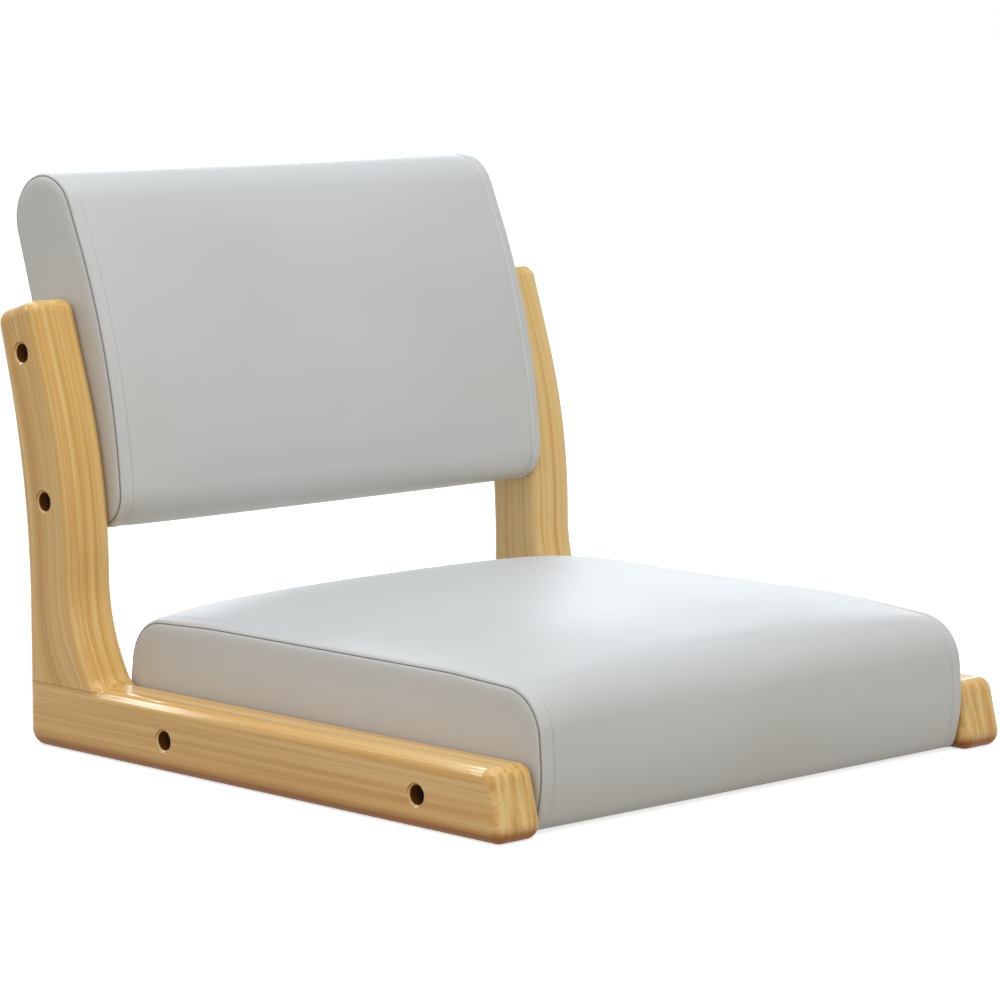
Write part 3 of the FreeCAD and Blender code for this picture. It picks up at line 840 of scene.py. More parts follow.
class Outline:
    """Closed outline of straight sides and rounded corners, up the front, over and down behind."""

    # Share of a side that the arcs at its two ends may take, and the fewest steps round an arc.
    side_share: float = 0.995
    least_arc_steps: int = 3

    def __init__(self, corners: list[Corner], inset: float = 0.0,
                 least_radius: float = 2.0) -> None:
        """Works out the arcs.

        Args:
            corners: the corners in order.
            inset: how far every side moves inward.
            least_radius: the smallest radius that the inset leaves.
        """
        self.arcs: list[tuple[np.ndarray, np.ndarray, np.ndarray]] = []
        self.corners: list[Corner] = []
        points = [np.array([c.y, c.z]) for c in corners]
        count = len(points)
        sides = [self._unit(points[(k + 1) % count] - points[k]) for k in range(count)]
        tips, slopes, radii = [], [], []
        for k, corner in enumerate(corners):
            before, after = sides[k - 1], sides[k]
            cosine = float(before @ after)
            turn = float(before[0] * after[1] - before[1] * after[0])
            inward = np.array([before[1] + after[1], -before[0] - after[0]])
            tips.append(points[k] + inward * inset / (1 + cosine))
            slopes.append(-turn / (1 + cosine))
            radii.append(max(least_radius, corner.radius - inset * math.copysign(1.0, -turn)))
        shares = [1.0] * count
        for k in range(count):
            after = (k + 1) % count
            reaches = radii[k] * abs(slopes[k]) + radii[after] * abs(slopes[after])
            share = float(np.linalg.norm(tips[after] - tips[k])) / reaches
            shares[k], shares[after] = min(shares[k], share), min(shares[after], share)
        for k, tip in enumerate(tips):
            radius = radii[k] * min(1.0, shares[k] * self.side_share)
            reach = radius * abs(slopes[k])
            aside = np.array([sides[k - 1][1], -sides[k - 1][0]]) * math.copysign(radius, slopes[k])
            start = tip - sides[k - 1] * reach
            self.arcs.append((start, start + aside, tip + sides[k] * reach))
            self.corners.append(Corner(float(tip[0]), float(tip[1]), radius))

    @staticmethod
    def _unit(v: np.ndarray) -> np.ndarray:
        """Vector of length 1."""
        return v / np.linalg.norm(v)

    def steps(self, spacing: float) -> list[tuple[int, int]]:
        """How many steps each arc and the side after it need.

        Args:
            spacing: distance between points.

        Returns:
            Steps for each arc and the side after it.
        """
        result = []
        for k, (start, centre, end) in enumerate(self.arcs):
            radius = np.linalg.norm(start - centre)
            chord = min(1.0, np.linalg.norm(end - start) / (2 * radius))
            arc = 2 * math.asin(chord) * radius
            side = np.linalg.norm(self.arcs[(k + 1) % len(self.arcs)][0] - end)
            result.append((max(self.least_arc_steps, math.ceil(arc / spacing)),
                           max(1, math.ceil(side / spacing))))
        return result

    def sample(self, steps: list[tuple[int, int]]) -> np.ndarray:
        """Points along the outline.

        Args:
            steps: steps for each arc and the side after it.

        Returns:
            (n, 2) points as (y, z).
        """
        points = []
        for k, (start, centre, end) in enumerate(self.arcs):
            a, b = start - centre, end - centre
            angle = math.atan2(a[0] * b[1] - a[1] * b[0], float(a @ b))
            arc_steps, side_steps = steps[k]
            for i in range(arc_steps + 1):
                t = angle * i / arc_steps
                points.append(centre + np.array([a[0] * math.cos(t) - a[1] * math.sin(t),
                                                 a[0] * math.sin(t) + a[1] * math.cos(t)]))
            following = self.arcs[(k + 1) % len(self.arcs)][0]
            points += [end + (following - end) * i / side_steps for i in range(1, side_steps)]
        return np.array(points)


class Swelling:
    """How far the cover moved when the foam behind it was let press it out, by cloth simulation."""

    # How many moves are averaged, and how far from the cover a point starts to be left alone.
    neighbours: int = 12
    fade: float = 8.0

    def __init__(self, before: np.ndarray, moved: np.ndarray, reach: float) -> None:
        """Keeps the moves for looking up.

        Args:
            before: points before the simulation, in metres.
            moved: how far each of them moved.
            reach: distance over which neighbouring moves are averaged.
        """
        self.moved = moved
        self.reach = reach
        self.tree = KDTree(len(before))
        for k, point in enumerate(before):
            self.tree.insert(point, k)
        self.tree.balance()

    def apply(self, points: np.ndarray) -> np.ndarray:
        """Moves points as the simulated cover near them moved, and leaves them alone away from it.

        Args:
            points: points in millimetres, in any number of rings.

        Returns:
            The moved points in the same layout.
        """
        result = points.reshape(-1, 3).copy()
        for k, place in enumerate(to_row(points.reshape(-1, 3))):
            near = self.tree.find_n(place, self.neighbours)
            weights = np.array([math.exp(-(found[2] / self.reach) ** 2) for found in near]) + TINY
            moves = self.moved[[found[1] for found in near]]
            share = min(1.0, max(0.0, 2.0 - near[0][2] / (self.fade * MM)))
            result[k] += share * (weights[:, None] * moves).sum(axis=0) / weights.sum() / MM
        return result.reshape(points.shape)


@dataclass(frozen=True)
class CoverSimulation:
    """Cloth simulation in which a coarse copy of a pad swells as a stuffed cover does.

    The cap is the furthest that a point may move, and the voxel is the copy's mesh size.
    """

    pressure: float = 4.0
    cap: float = 2.0
    voxel: float = 6.0
    frames: int = 20
    quality: int = 5
    mass: float = 0.4
    stiffness: float = 40.0
    bending: float = 4.0

    def run(self, name: str, verts: np.ndarray, faces: Faces,
            held: Callable[[np.ndarray], np.ndarray]) -> Swelling:
        """Lets a closed form swell.

        Args:
            name: name of the scratch object.
            verts: points of the closed form in the working frame.
            faces: its faces.
            held: says for (n, 3) points in millimetres by which share the cover is held there.

        Returns:
            The field of moves.
        """
        scene = bpy.context.scene
        mesh = bpy.data.meshes.new(name)
        mesh.from_pydata([tuple(v) for v in to_row(verts)], [], faces)
        coarse = bpy.data.objects.new(name, mesh)
        scene.collection.objects.link(coarse)
        remesh = coarse.modifiers.new("remesh", "REMESH")
        remesh.mode = "VOXEL"
        remesh.voxel_size = self.voxel * MM
        view = bpy.context.evaluated_depsgraph_get()
        applied = bpy.data.meshes.new_from_object(coarse.evaluated_get(view))
        coarse.modifiers.clear()
        coarse.data = applied
        before = np.array([v.co for v in applied.vertices])
        group = coarse.vertex_groups.new(name="held")
        for k, share in enumerate(held(to_working(before))):
            if share > 0:
                group.add([k], float(share), "REPLACE")
        self._add_cloth(coarse, group.name)
        for number in range(1, self.frames + 1):
            scene.frame_set(number)
        after = coarse.evaluated_get(bpy.context.evaluated_depsgraph_get()).data
        moved = np.array([v.co for v in after.vertices]) - before
        length = np.linalg.norm(moved, axis=1)
        moved *= np.minimum(1.0, self.cap * MM / np.maximum(length, TINY))[:, None]
        scene.frame_set(1)
        bpy.data.objects.remove(coarse)
        log.info("%s: %d points simulated, largest move %.1f mm", name, len(before),
                 length.max() / MM)
        return Swelling(before, moved, 2 * self.voxel * MM)

    def _add_cloth(self, coarse: bpy.types.Object, group: str) -> None:
        """Puts the cloth on the coarse copy.

        Args:
            coarse: the copy.
            group: its vertex group of held points.
        """
        cloth = coarse.modifiers.new("cloth", "CLOTH")
        settings = cloth.settings
        settings.quality = self.quality
        settings.mass = self.mass
        settings.tension_stiffness = self.stiffness
        settings.compression_stiffness = self.stiffness
        settings.bending_stiffness = self.bending
        settings.use_pressure = True
        settings.uniform_pressure_force = self.pressure
        settings.vertex_group_mass = group
        settings.effector_weights.gravity = 0
        cloth.point_cache.frame_start = 1
        cloth.point_cache.frame_end = self.frames


# Pads


@dataclass
class Pad:
    """A cushion: a strip of cover round front, top and back, sewn to a side panel at each end."""

    name: str = "pad"
    seam_x: float = 199.6
    face_x: float = 201.7
    cover_thickness: float = 1.2
    crown_power: float = 5.0
    roll: float = 2.2
    allowance_width: float = 8.6
    allowance_ridge: float = 0.35
    ridge_inset: float = 1.1
    ridge_spread: float = 1.1
    allowance_step: float = 0.8
    step_width: float = 1.4
    step_fade: float = 5.0
    groove_depth: float = 0.55
    groove_offset: float = 0.8
    groove_spread: float = 0.5
    seam_distances: tuple[float, ...] = (
        0.0, 0.12, 0.35, 0.7, 1.2, 1.8, 2.6, 4.0, 5.4, 6.4, 7.1, 7.7, 8.2, 8.6, 8.9, 9.2, 9.5, 9.8,
        10.2, 10.8, 12.2, 15.0, 20.0)
    middle_margin: float = 26.0
    middle_stations: int = 26
    panel_width: float = 9.0
    panel_flat: float = 3.0
    panel_shares: tuple[float, ...] = (0.0, 0.02, 0.06, 0.14, 0.26, 0.42, 0.62, 0.82, 1.0)
    # The cord along each side seam is painted shade for the seam's gap.
    shade_cord_radius: float = 0.55
    shade_cord_sides: int = 8
    shade_cord_proud: float = 0.1
    spacing: float = 5.0
    seam_hold: float = 14.0
    seam_hold_fade: float = 10.0
    foot_hold: float = 22.0
    foot_hold_fade: float = 14.0
    simulation: CoverSimulation = CoverSimulation()
    fill: float = 0.9
    steps: list[tuple[int, int]] = field(default_factory=list)
    swelling: Swelling | None = None

    def corners(self, crown: float, sunk: float) -> list[Corner]:
        """Corners of the pad's outline, in order from the front foot over the top."""
        raise NotImplementedError

    def crown(self, x: float) -> float:
        """Share of the full crown at a place across the chair."""
        return 1 - min(1.0, abs(x) / self.seam_x) ** self.crown_power

    def held(self, points: np.ndarray) -> np.ndarray:
        """Share by which the cover is held still, at its side seams and along its foot.

        Args:
            points: (n, 3) points in millimetres.

        Returns:
            A share from 0 to 1 for each point.
        """
        past_seam = np.abs(points[:, 0]) - (self.seam_x - self.seam_hold)
        below = self.foot_hold - points[:, 2]
        return np.maximum(np.clip(past_seam / self.seam_hold_fade, 0, 1),
                          np.clip(below / self.foot_hold_fade, 0, 1))

    def ring(self, x: float, sunk: float, inset: float = 0.0) -> np.ndarray:
        """Ring at x, sunk below the pad's full outline save at a flat hem, and inset all round."""
        outline = Outline(self.corners(self.crown(x), sunk), sunk + inset)
        return ring_at(x, outline.sample(self.steps))

    def depth(self, distance: float) -> float:
        """How far the cover lies below its full outline near a side seam.

        The folded seam allowance inside lifts a band beside the seam, which ends in a step and a
        fine groove.

        Args:
            distance: distance from the seam.

        Returns:
            The depth.
        """
        past = distance - self.allowance_width
        inside = (past + self.ridge_inset) / self.ridge_spread
        ridge = self.allowance_ridge * math.exp(-inside ** 2)
        share = min(1.0, max(0.0, past / self.step_width + 0.5))
        step = self.allowance_step * share * share * (3 - 2 * share)
        step = step * math.exp(-max(0.0, past) / self.step_fade) - ridge
        beyond = (past - self.groove_offset) / self.groove_spread
        step += self.groove_depth * math.exp(-beyond ** 2)
        if distance >= self.roll:
            return step
        return step + self.roll - math.sqrt(self.roll ** 2 - (self.roll - distance) ** 2)

    def cover_stations(self) -> list[float]:
        """Places across the chair where the cover has a ring.

        Returns:
            The places from left to right, closest together at the seams.
        """
        middle = np.linspace(0, self.seam_x - self.middle_margin, self.middle_stations)
        half = list(middle) + [self.seam_x - d for d in reversed(self.seam_distances)]
        return [-x for x in reversed(half[1:])] + half

    def panel_curve(self) -> np.ndarray:
        """Half section of a side panel, from the seam to its flat middle.

        Returns:
            (n, 2) points as (x, inset).
        """
        rise = self.face_x - self.seam_x
        curve = [(self.seam_x + rise * math.sqrt(1 - (1 - share) ** 2),
                  self.roll + share * self.panel_width) for share in self.panel_shares]
        return np.array(curve + [(self.face_x, self.roll + self.panel_width + self.panel_flat)])

    def cover_rings(self, inset: float = 0.0) -> np.ndarray:
        """Rings of the cover from the left seam to the right one, inset from its outer surface."""
        return np.array([self.ring(x, self.depth(self.seam_x - abs(x)), inset)
                         for x in self.cover_stations()])

    def panel_rings(self, side: Side, thickness: float = 0.0) -> np.ndarray:
        """Rings of a side panel from the seam inwards.

        Args:
            side: which panel.
            thickness: how far they lie inside the outer surface.

        Returns:
            (rings, count, 3) points.
        """
        curve = self.panel_curve()
        tangent = np.gradient(curve, axis=0)
        tangent /= np.linalg.norm(tangent, axis=1)[:, None]
        inward = thickness * np.column_stack([-tangent[:, 1], tangent[:, 0]])
        rings = [self.ring(x + dx, self.roll, sunk - self.roll + inset)
                 for (x, sunk), (dx, inset) in zip(curve, inward)]
        return np.array([ring * (side.value, 1, 1) for ring in rings])

    def simulate(self) -> None:
        """Runs the cloth simulation on the whole closed form."""
        self.steps = Outline(self.corners(0.0, 0.0)).steps(self.spacing)
        left = self.panel_rings(Side.LEFT)[::-1]
        right = self.panel_rings(Side.RIGHT)
        rings = np.concatenate([left[:-1], self.cover_rings(), right[1:]])
        self.swelling = self.simulation.run(f"{self.name}_form", rings.reshape(-1, 3),
                                            closed_faces(*rings.shape[:2]), self.held)

    def settled(self, points: np.ndarray) -> np.ndarray:
        """Points moved with the simulated cover."""
        return points if self.swelling is None else self.swelling.apply(points)

    def build_cover(self, material: bpy.types.Material) -> bpy.types.Object:
        """Builds the strip of cover.

        Args:
            material: its finish.

        Returns:
            The piece, which stands for the CAD model's strip.
        """
        verts, faces = shell_between(self.settled(self.cover_rings()),
                                     self.settled(self.cover_rings(self.cover_thickness)))
        return make_padded(f"{self.name}_cushion_cover", verts, faces, material,
                           f"{self.name}_cover")

    def build_panel(self, side: Side, material: bpy.types.Material) -> bpy.types.Object:
        """Builds a side panel.

        Args:
            side: which one.
            material: its finish.

        Returns:
            The piece, which stands for the CAD model's panel.
        """
        verts, faces = shell_between(self.panel_rings(side),
                                     self.panel_rings(side, self.cover_thickness), capped=True)
        if side is Side.LEFT:
            faces = [face[::-1] for face in faces]
        return make_padded(f"{self.name}_{side.word}_cushion_side", verts, faces, material,
                           f"{self.name}_{side.word}_side_panel")

    def build_seam_shade(self, side: Side, material: bpy.types.Material) -> bpy.types.Object:
        """Builds the dark cord at the bottom of a side seam, which paints the shade in the seam's
        gap.

        Args:
            side: which seam.
            material: its finish.

        Returns:
            The piece.
        """
        path = self.ring(self.seam_x, self.roll) + np.array([self.shade_cord_proud, 0, 0])
        verts, faces = tube(path * (side.value, 1, 1), self.shade_cord_radius, self.shade_cord_sides)
        piece = make_object(f"{self.name}_{side.word}_seam_thread", to_row(verts), faces, material)
        return piece

    def build(self, cover: bpy.types.Material, seam: bpy.types.Material) -> None:
        """Builds every piece of the cover.

        Args:
            cover: finish of the cover.
            seam: finish of the dark cord in the side seams, which paints their shade.
        """
        self.simulate()
        self.build_cover(cover)
        for side in Side:
            self.build_panel(side, cover)
            self.build_seam_shade(side, seam)


@dataclass
class SeatPad(Pad):
    """The seat cushion: flat on its battens, rolled over the front and crowned on top."""

    name: str = "seat"
    front: float = 5.2
    rear: float = 411.5
    floor_gap: float = 2.0
    seam_height: float = 94.9
    crown_rise: float = 17.0
    bulge: float = 3.0
    hem_slope: float = 7.2
    face_slope: float = 4.3
    rear_slope: float = 7.3
    shoulder: float = 87.0
    shoulder_fall: float = 3.9
    rear_fall: float = 3.3
    shoulder_lift: float = 0.2
    waist: float = 32.0
    waist_radius: float = 90.0
    roll_radius: float = 33.0
    shoulder_radius: float = 330.0
    hem_radius: float = 10.0

    def corners(self, crown: float, sunk: float) -> list[Corner]:
        """Corners of the seat's outline, from the front hem over the top to the rear hem.

        Args:
            crown: share of the full crown, from 0 at the seams to 1 midway.
            sunk: how far the ring is about to be set in, which the flat hem takes back.

        Returns:
            The corners.
        """
        bulge = self.bulge * crown
        top = self.seam_height + self.crown_rise * crown
        lift = self.crown_rise * self.shoulder_lift * crown
        hem = self.floor_gap - sunk
        front, rear = self.front - bulge, self.rear + bulge
        front_roll = self.seam_height - self.shoulder_fall + lift
        rear_roll = self.seam_height - self.rear_fall + lift
        return [
            Corner(self.front + self.hem_slope, hem, self.hem_radius),
            Corner(front, self.waist, self.waist_radius),
            Corner(front + self.face_slope, front_roll, self.roll_radius),
            Corner(self.front + self.shoulder, top, self.shoulder_radius),
            Corner(self.rear - self.shoulder, top, self.shoulder_radius),
            Corner(rear - self.rear_slope, rear_roll, self.roll_radius),
            Corner(rear, self.waist, self.waist_radius),
            Corner(self.rear - self.face_slope, hem, self.hem_radius),
        ]


@dataclass
class BackPad(Pad):
    """The back cushion: a lumbar swell in front, a rolled top and a hollow back.

    Each bend is the height and radius where a face changes its lean, and leans are in degrees.
    """

    name: str = "back"
    height: float = 390.3
    bottom: float = 149.4
    thickness: float = 69.8
    top_thickness: float = 64.8
    front_foot: float = 413.6
    front_foot_lean: float = 4.0
    front_bend: tuple[float, float] = (265.0, 555.0)
    front_lean: float = 23.9
    rear_bend: tuple[float, float] = (234.4, 560.0)
    rear_foot_lean: float = 6.4
    roll_radius: float = 32.0
    roll_tilt: float = 18.0
    foot_radius: float = 27.0
    crown_rise: float = 4.0
    rear_rise: float = 3.0
    foot_hold: float = 163.4
    foot_hold_fade: float = 12.0

    def corners(self, crown: float, sunk: float) -> list[Corner]:
        """Corners of the back's outline, up the lumbar front, over the rolled top and down behind.

        Args:
            crown: share of the full crown, from 0 at the seams to 1 midway.
            sunk: how far the ring is about to be set in, which changes nothing here.

        Returns:
            The corners.
        """
        face = self.front_foot - self.crown_rise * crown
        rear_foot = self.front_foot + self.thickness
        bend_z, bend_radius = self.front_bend
        rear_z, rear_radius = self.rear_bend
        lean = math.radians(self.front_lean)
        tilt = math.radians(self.roll_tilt)
        rear_slope = math.tan(math.radians(self.rear_foot_lean))
        front_slope = math.tan(math.radians(self.front_foot_lean))
        rear_y = rear_foot + (rear_z - self.bottom) * rear_slope
        bend_y = self.front_foot + (bend_z - self.bottom) * front_slope
        top_y = bend_y + (self.height - bend_z) * math.tan(lean) + self.top_thickness
        bend_y -= self.crown_rise * crown
        back_lean = math.atan2(top_y - rear_y, self.height - rear_z)
        rear_y += self.rear_rise * crown
        touch_z = self.height - self.roll_radius * (1 - math.sin(lean))
        touch_y = bend_y + (touch_z - bend_z) * math.tan(lean)
        crest = np.array([touch_y + self.roll_radius * (math.cos(lean) + math.sin(tilt)),
                          self.height - self.roll_radius * (1 - math.cos(tilt))])
        top = np.array([math.cos(tilt), -math.sin(tilt)])
        front_top = self._meet(np.array([bend_y, bend_z]), lean, crest, top)
        rear_top = self._meet(np.array([rear_y, rear_z]), back_lean, crest, top)
        return [
            Corner(face, self.bottom, self.foot_radius),
            Corner(bend_y, bend_z, bend_radius),
            Corner(front_top[0], front_top[1], self.roll_radius),
            Corner(rear_top[0], rear_top[1], self.roll_radius),
            Corner(rear_y, rear_z, rear_radius),
            Corner(rear_foot, self.bottom, self.foot_radius),
        ]

    @staticmethod
    def _meet(foot: np.ndarray, lean: float, crest: np.ndarray, along: np.ndarray) -> np.ndarray:
        """Point where a leaning face meets the line over the pad's crest.

        Args:
            foot: point on the face.
            lean: the face's lean from upright, in radians.
            crest: point on the line.
            along: direction of the line.

        Returns:
            The point.
        """
        up = np.array([math.sin(lean), math.cos(lean)])
        apart = crest - foot
        turn = up[0] * along[1] - up[1] * along[0]
        return foot + (apart[0] * along[1] - apart[1] * along[0]) / turn * up


# Foam and the cloth under the seat


@dataclass
class Foam:
    """Foam of one pad, cut square at its ends and hollowed for the boards in it.

    The gap is the room under the cover, and the frame gap is the room round the boards.
    """

    pad: Pad
    gap: float = 2.2
    end: float = 198.1
    frame_gap: float = 0.3
    stations: int = 41

    def places(self) -> np.ndarray:
        """Places across the chair where the foam has a ring."""
        return np.linspace(-self.end, self.end, self.stations)

    def finish(self, points: np.ndarray, faces: Faces,
               material: bpy.types.Material) -> bpy.types.Object:
        """Settles the foam with its cover and makes the piece that stands for the CAD foam."""
        return make_padded(f"{self.pad.name}_foam_block", self.pad.settled(points), faces, material,
                           f"{self.pad.name}_foam")


@dataclass
class SeatFoam(Foam):
    """The seat's foam, hollowed underneath to stand over the battens and the deck."""

    spacing: float = 8.0
    hollow_radius: float = 0.4
    least_radius: float = 0.3

    def outline(self, x: float) -> Outline:
        """Outline of the foam at a place across the chair, with the hollow for the boards.

        Args:
            x: the place.

        Returns:
            The outline.
        """
        outer = Outline(self.pad.corners(self.pad.crown(x), 0.0), self.gap).corners
        low, high = (to_working(corner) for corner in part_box("seat_deck"))
        front, rear = low[1] - self.frame_gap, high[1] + self.frame_gap
        top = high[2] + self.frame_gap
        foot = outer[0].z
        hollow = [Corner(y, z, self.hollow_radius)
                  for y, z in ((rear, foot), (rear, top), (front, top), (front, foot))]
        return Outline(outer + hollow, least_radius=self.least_radius)

    def build(self, material: bpy.types.Material) -> bpy.types.Object:
        """Builds the foam.

        Args:
            material: its finish.

        Returns:
            The piece.
        """
        steps = self.outline(0.0).steps(self.spacing)
        rings = [ring_at(x, self.outline(x).sample(steps)) for x in self.places()]
        return self.finish(np.concatenate(rings), closed_faces(len(rings), len(rings[0])), material)


@dataclass
class BackFoam(Foam):
    """The back's foam, with a hollow that holds its board, its cross rails and its end boards."""

    end_board_face: float = 181.9
    end_board_inset: float = 13.7

    def board_ring(self, x: float, outline: np.ndarray) -> np.ndarray:
        """Ring on the hollow for the board and rails.

        Args:
            x: place across the chair.
            outline: (n, 2) points as (y, z) outside the hollow, which give the directions.

        Returns:
            (n, 3) points, one for each of the outline's.
        """
        nodes = ("back_board", "back_bottom_rail", "back_top_rail")
        board, lower, upper = (node_points(node)[:, 1:] for node in nodes)
        up = upper.mean(axis=0) - lower.mean(axis=0)
        up = up / np.linalg.norm(up)
        axes = np.array([up, [up[1], -up[0]]])
        local = np.concatenate([board, lower, upper]) @ axes.T
        low, high = local.min(axis=0) - self.frame_gap, local.max(axis=0) + self.frame_gap
        middle, half = (low + high) / 2, (high - low) / 2
        away = (outline @ axes.T) - middle
        share = 1 / np.max(np.abs(away) / half, axis=1)
        return ring_at(x, (middle + away * share[:, None]) @ axes)

    def build(self, material: bpy.types.Material) -> bpy.types.Object:
        """Builds the foam.

        Args:
            material: its finish.

        Returns:
            The piece.
        """
        outer = [self.pad.ring(x, 0.0, self.gap) for x in self.places()]
        outline = Outline(self.pad.corners(0.0, 0.0), self.end_board_inset).sample(self.pad.steps)
        ends = [ring_at(x, outline) for x in (self.end, self.end_board_face)]
        hollow = [self.board_ring(x, outline) for x in (self.end_board_face, -self.end_board_face)]
        mirrored = [ring * (-1, 1, 1) for ring in reversed(ends)]
        rings = outer + ends + hollow + mirrored
        points = np.concatenate(rings)
        quads = band_faces(len(rings) + 1, len(outline))
        faces = [tuple(i % len(points) for i in quad) for quad in quads]
        return self.finish(points, faces, material)


@dataclass
class DustCloth:
    """The thin black cloth stretched over the underside of the seat frame, with a turned hem."""

    thickness: float = 0.35
    hem: float = 8.0
    hem_rise: float = 0.08
    cells: int = 44
    ripple: float = 0.12
    ripple_turns: tuple[float, float, float] = (19.0, 5.0, 15.0)
    ripple_fade: float = 20.0

    def lift(self, u: float, v: float, edge: float, lower: bool) -> float:
        """How far the cloth stands off its flat place.

        Args:
            u, v: place on the cloth, from 0 to 1.
            edge: distance from the nearest edge, in millimetres.
            lower: whether this is the lower face, which the hem thickens.

        Returns:
            The height, in millimetres, which is never above the flat place.
        """
        across, slanting, along = self.ripple_turns
        wave = self.ripple * math.sin(across * u + slanting * v) * math.sin(along * v)
        wave *= min(1.0, edge / self.ripple_fade)
        return min(wave - (self.hem_rise if lower and edge <= self.hem else 0.0), 0.0)

    def build(self, material: bpy.types.Material) -> bpy.types.Object:
        """Builds the cloth.

        Args:
            material: its finish.

        Returns:
            The piece, which stands for the CAD model's cloth.
        """
        low, high = (np.array(corner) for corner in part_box("seat_dust_cloth"))
        width, length = float(high[0] - low[0]), float(high[1] - low[1])
        grid = np.linspace(0, 1, self.cells + 1)
        verts = []
        for layer in (0.0, self.thickness * MM):
            for v in grid:
                for u in grid:
                    edge = min(u * width, (1 - u) * width, v * length, (1 - v) * length) / MM
                    z = high[2] - layer + self.lift(u, v, edge, layer > 0) * MM
                    verts.append((low[0] + u * width, low[1] + v * length, z))
        side = self.cells + 1
        below = side * side
        faces = []
        for j in range(self.cells):
            for i in range(self.cells):
                a = j * side + i
                b = a + below
                faces += [(a, a + 1, a + side + 1, a + side), (b, b + side, b + side + 1, b + 1)]
        rim = list(range(side))
        rim += [j * side + side - 1 for j in range(1, side)]
        rim += [below - 2 - i for i in range(side - 1)]
        rim += [side * (side - 2 - j) for j in range(side - 2)]
        faces += [(a, a + below, b + below, b) for a, b in zip(rim, rim[1:] + rim[:1])]
        piece = make_object("underside_cloth", np.array(verts), faces, material, smooth=False)
        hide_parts("seat_dust_cloth")
        return piece


# Frames and inner pieces


@dataclass
class SideFrame:
    """One lacquered side frame: an upright glued to a base rail.

    Each pith is how far sideways and along its board's other cross axis the tree's centre lies, in
    metres.
    """

    side: Side
    outer_face: float = 240.0
    joint_front: float = 392.4
    joint_height: float = 45.0
    washer_reach: float = 20.0
    upright_pith: tuple[float, float] = (0.14, 0.29)
    rail_pith: tuple[float, float] = (0.09, 0.012)
    # The right upright is set paler than the other three boards.
    plain_board: float = -0.08
    pale_board: float = -0.2

    def bores(self) -> list[tuple[float, float]]:
        """Places of this side's bolt recesses, read from the washers in them.

        Returns:
            (y, z) of each in the row frame, in metres.
        """
        found = []
        for node in ("seat_bolt_washers", "back_bolt_washers"):
            points = np.array([v.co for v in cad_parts[node].data.vertices])
            points = points[points[:, 0] * self.side.value > 0][:, 1:]
            while len(points):
                near = np.linalg.norm(points - points[0], axis=1) < self.washer_reach * MM
                low, high = points[near].min(axis=0), points[near].max(axis=0)
                found.append((float(low[0] + high[0]) / 2, float(low[1] + high[1]) / 2))
                points = points[~near]
        return found

    def dress(self, wood: LacqueredPine) -> None:
        """Gives the upright and the rail their wood.

        Args:
            wood: the finish.
        """
        joint = (float(to_row([0, self.joint_front, 0])[1]), self.joint_height * MM)
        upright = self.pale_board if self.side is Side.RIGHT else self.plain_board
        for word, grain, (sideways, across), darkness in (
                ("upright", Grain.ALONG_Z, self.upright_pith, upright),
                ("base_rail", Grain.ALONG_Y, self.rail_pith, self.plain_board)):
            node = f"{self.side.word}_{word}"
            pith = (self.side.value * sideways, across)
            assign(node, wood.build(f"lacquered_pine_{node}", grain, pith, self.bores(),
                                    self.outer_face * MM, joint, darkness))
            log.info("%s: wood along %s", node, grain.value)


def assign(node: str, material: bpy.types.Material) -> None:
    """Gives a CAD node one finish all over.

    Args:
        node: name of the node.
        material: its finish.
    """
    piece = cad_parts[node]
    piece.data.materials.clear()
    piece.data.materials.append(material)


# Nodes inside the chair that each plain finish covers.
INNER_FINISHES = {
    SAWN_SOFTWOOD: ("seat_left_batten", "seat_right_batten", "seat_front_batten",
                    "seat_rear_batten", "back_bottom_rail", "back_top_rail"),
    BIRCH_PLYWOOD: ("seat_deck", "back_left_end_board", "back_right_end_board", "back_board"),
    BEECH_DOWEL: ("corner_dowels",),
    PLATED_STEEL: ("seat_deck_screws", "seat_corner_screws", "seat_cover_staples",
                   "seat_threaded_inserts", "back_board_screws", "back_end_screws",
                   "back_threaded_inserts"),
    BLACKENED_STEEL: ("seat_bolts", "seat_bolt_washers", "back_bolts", "back_bolt_washers"),
}


def dress_inner_pieces() -> None:
    """Gives every timber, board and fastening inside the chair its finish."""
    for finish, nodes in INNER_FINISHES.items():
        material = finish.build()
        for node in nodes:
            assign(node, material)
            log.info("%s: %s", node, finish.name)


# Stage


@dataclass(frozen=True)
class Lamp:
    """One rectangular lamp, with its place, width and height in metres.

    A lamp with a direction of its width is a reflector that only shows as a reflection, and a lamp
    without one hangs level and lights everything.
    """

    name: str
    place: tuple[float, float, float]
    size: tuple[float, float]
    watts: float
    colour: str = "#FFFFFF"
    along: tuple[float, float, float] | None = None

    def hang(self, aim: Vector) -> None:
        """Hangs the lamp.

        Args:
            aim: point that it faces.
        """
        data = bpy.data.lights.new(self.name, "AREA")
        data.shape = "RECTANGLE"
        data.size, data.size_y = self.size
        data.energy = self.watts
        data.color = linear(self.colour)[:3]
        lamp = bpy.data.objects.new(self.name, data)
        lamp.location = self.place
        back = (Vector(self.place) - aim).normalized()
        lamp.rotation_euler = back.to_track_quat("Z", "Y").to_euler()
        if self.along is not None:
            along = Vector(self.along).normalized()
            lamp.rotation_euler = Matrix((along, back.cross(along), back)).transposed().to_euler()
            lamp.visible_diffuse = False
        bpy.context.scene.collection.objects.link(lamp)


